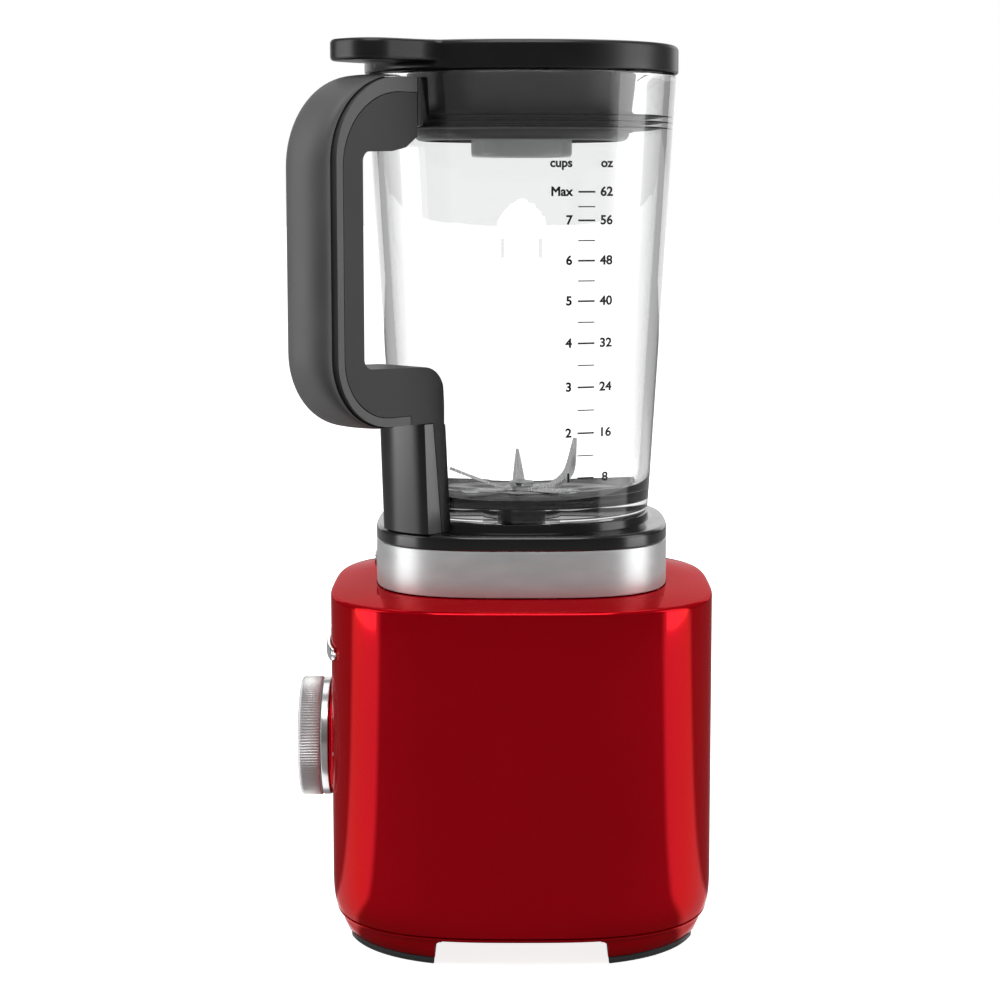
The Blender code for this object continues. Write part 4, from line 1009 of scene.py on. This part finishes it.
def compare(tree, operation, source, value):
    node = tree.nodes.new("ShaderNodeMath")
    node.operation = operation
    link(tree, source, node.inputs[0])
    if isinstance(value, float):
        node.inputs[1].default_value = value
    else:
        link(tree, value, node.inputs[1])
    return node.outputs["Value"]


def seen_directly(tree):
    """1 for what the camera sees straight or through clear plastic, 0 for reflections and light.

    Light turned back inside a clear wall counts in part, as from the edge of a white backdrop.
    """
    rays = tree.nodes.new("ShaderNodeLightPath").outputs
    bounces = compare(tree, "ADD", rays["Diffuse Depth"], rays["Glossy Depth"])
    straight = compare(tree, "LESS_THAN", bounces, 0.5)
    in_wall = compare(tree, "LESS_THAN", rays["Transmission Depth"], 2.5)
    part = compare(tree, "ADD", compare(tree, "MULTIPLY", in_wall, -0.1), 0.36)
    through = compare(tree, "MULTIPLY", rays["Is Transmission Ray"], compare(tree, "MAXIMUM", straight, part))
    return compare(tree, "MAXIMUM", rays["Is Camera Ray"], through)


CARD_MIDDLE = 0.14               # how far the light cards' middle slants from the camera's left and right
CARD_HALF = 0.31
CARD_GLOW = 1.6
FRONT_GLOW = 0.12


def studio_floor():
    """A white floor that glows a little, more so further out, and reflects as a dim one."""
    shape = bmesh.new()
    bmesh.ops.create_circle(shape, cap_ends=True, segments=96, radius=20)
    ground = principled("floor_white", (0.82, 0.82, 0.82), 0.7)
    vary_roughness(ground, noise(ground, 3, 2.0), 0.65, 0.75)
    tree = ground.node_tree
    shader = tree.nodes["Principled BSDF"]
    shader.inputs["Specular IOR Level"].default_value = 0.0
    shader.inputs["Emission Color"].default_value = (1, 1, 1, 1)
    place = tree.nodes.new("ShaderNodeTexCoord")
    length = tree.nodes.new("ShaderNodeVectorMath")
    length.operation = "LENGTH"
    glow = tree.nodes.new("ShaderNodeMapRange")
    glow.interpolation_type = "SMOOTHSTEP"
    for socket, value in (("From Min", 0.15), ("From Max", 1.1), ("To Min", 0.85), ("To Max", 1.1)):
        glow.inputs[socket].default_value = value
    link(tree, place.outputs["Object"], length.inputs[0])
    link(tree, length.outputs["Value"], glow.inputs["Value"])
    link(tree, glow.outputs["Result"], shader.inputs["Emission Strength"])
    split = tree.nodes.new("ShaderNodeSeparateXYZ")
    link(tree, place.outputs["Object"], split.inputs["Vector"])
    side = compare(tree, "ABSOLUTE", split.outputs["Y"], 0.0)
    slant = compare(tree, "DIVIDE", split.outputs["X"], side)
    card = tree.nodes.new("ShaderNodeMapRange")
    card.interpolation_type = "SMOOTHSTEP"
    off_middle = compare(tree, "ABSOLUTE", compare(tree, "SUBTRACT", slant, CARD_MIDDLE), 0.0)
    for socket, value in (("From Min", CARD_HALF - 0.02), ("From Max", CARD_HALF + 0.14),
                          ("To Min", CARD_GLOW), ("To Max", FRONT_GLOW)):
        card.inputs[socket].default_value = value
    link(tree, off_middle, card.inputs["Value"])
    rays = tree.nodes.new("ShaderNodeLightPath").outputs
    lit = tree.nodes.new("ShaderNodeEmission")
    shown = compare(tree, "MULTIPLY", card.outputs["Result"], rays["Is Glossy Ray"])
    link(tree, shown, lit.inputs["Strength"])
    dim = tree.nodes.new("ShaderNodeBsdfDiffuse")
    dim.inputs["Color"].default_value = (0.22, 0.22, 0.22, 1)
    reflected = tree.nodes.new("ShaderNodeAddShader")
    link(tree, dim.outputs["BSDF"], reflected.inputs[0])
    link(tree, lit.outputs["Emission"], reflected.inputs[1])
    mix = tree.nodes.new("ShaderNodeMixShader")
    link(tree, seen_directly(tree), mix.inputs["Fac"])
    link(tree, reflected.outputs["Shader"], mix.inputs[1])
    link(tree, shader.outputs["BSDF"], mix.inputs[2])
    link(tree, mix.outputs["Shader"], tree.nodes["Material Output"].inputs["Surface"])
    finished("studio_floor", shape, Matrix.Translation((0, 0, -0.0002)), ground)


def studio_world():
    world = bpy.data.worlds.new("studio")
    bpy.context.scene.world = world
    world.use_nodes = True
    tree = world.node_tree
    tree.nodes.clear()
    place = tree.nodes.new("ShaderNodeTexCoord")
    split = tree.nodes.new("ShaderNodeSeparateXYZ")
    ramp = tree.nodes.new("ShaderNodeValToRGB")
    stops = ((0.0, 0.10), (0.2, 0.16), (1.0, 0.35))
    ramp.color_ramp.elements.new(0.5)
    for element, (position, value) in zip(ramp.color_ramp.elements, stops):
        element.position = position
        element.color = (value, value, value, 1)
    around = tree.nodes.new("ShaderNodeBackground")
    behind = tree.nodes.new("ShaderNodeBackground")
    behind.inputs["Color"].default_value = (1, 1, 1, 1)
    mix = tree.nodes.new("ShaderNodeMixShader")
    out = tree.nodes.new("ShaderNodeOutputWorld")
    link(tree, place.outputs["Generated"], split.inputs["Vector"])
    link(tree, split.outputs["Z"], ramp.inputs["Fac"])
    link(tree, ramp.outputs["Color"], around.inputs["Color"])
    link(tree, seen_directly(tree), mix.inputs["Fac"])
    link(tree, around.outputs["Background"], mix.inputs[1])
    link(tree, behind.outputs["Background"], mix.inputs[2])
    link(tree, mix.outputs["Shader"], out.inputs["Surface"])


def softbox(name, place, size, radiance):
    light = bpy.data.lights.new(name, "AREA")
    light.shape = "RECTANGLE"
    light.size, light.size_y = size
    light.energy = radiance * math.pi * size[0] * size[1]
    lamp = bpy.data.objects.new(name, light)
    lamp.visible_transmission = False
    bpy.context.scene.collection.objects.link(lamp)
    lamp.location = Vector(place) + AXIS.translation
    towards = Vector((0, 0, 0.22)) + AXIS.translation - lamp.location
    lamp.rotation_euler = towards.to_track_quat("-Z", "Y").to_euler()


def studio():
    bpy.context.scene.view_settings.view_transform = "Standard"
    studio_floor()
    studio_world()
    for name, place, size, radiance in (
            ("left_box", (0.18, -1.29, 0.45), (0.79, 1.7), 2.8),
            ("right_box", (0.18, 1.29, 0.45), (0.79, 1.7), 2.8),
            ("front_top_box", (0.9, 0.0, 1.9), (1.2, 1.2), 4.6),
            ("rear_top_box", (-0.9, 0.0, 1.8), (1.2, 1.2), 2.0),
            ("rear_low_box", (-1.6, 0.0, 0.55), (2.4, 0.8), 1.1)):
        softbox(name, place, size, radiance)
    camera = bpy.data.cameras.new("camera")
    camera.lens = 86.4
    camera.sensor_width = 36
    camera.shift_x = -0.0215
    viewer = bpy.data.objects.new("camera", camera)
    bpy.context.scene.collection.objects.link(viewer)
    viewer.location = AXIS.translation + Vector((1.128, 0, 0.3461))
    viewer.rotation_euler = (math.radians(90 - 7.458), 0, math.radians(90))
    bpy.context.scene.camera = viewer


base()
underside()
collar()
trim()
gland()
knob()
dial()
jar()
marks()
foot()
drive_parts()
blades()
handle_core()
handle_band()
handle_grip()
post_cover()
jar_flange()
lid()
seal()
measuring_cap()
carry_over()
studio()
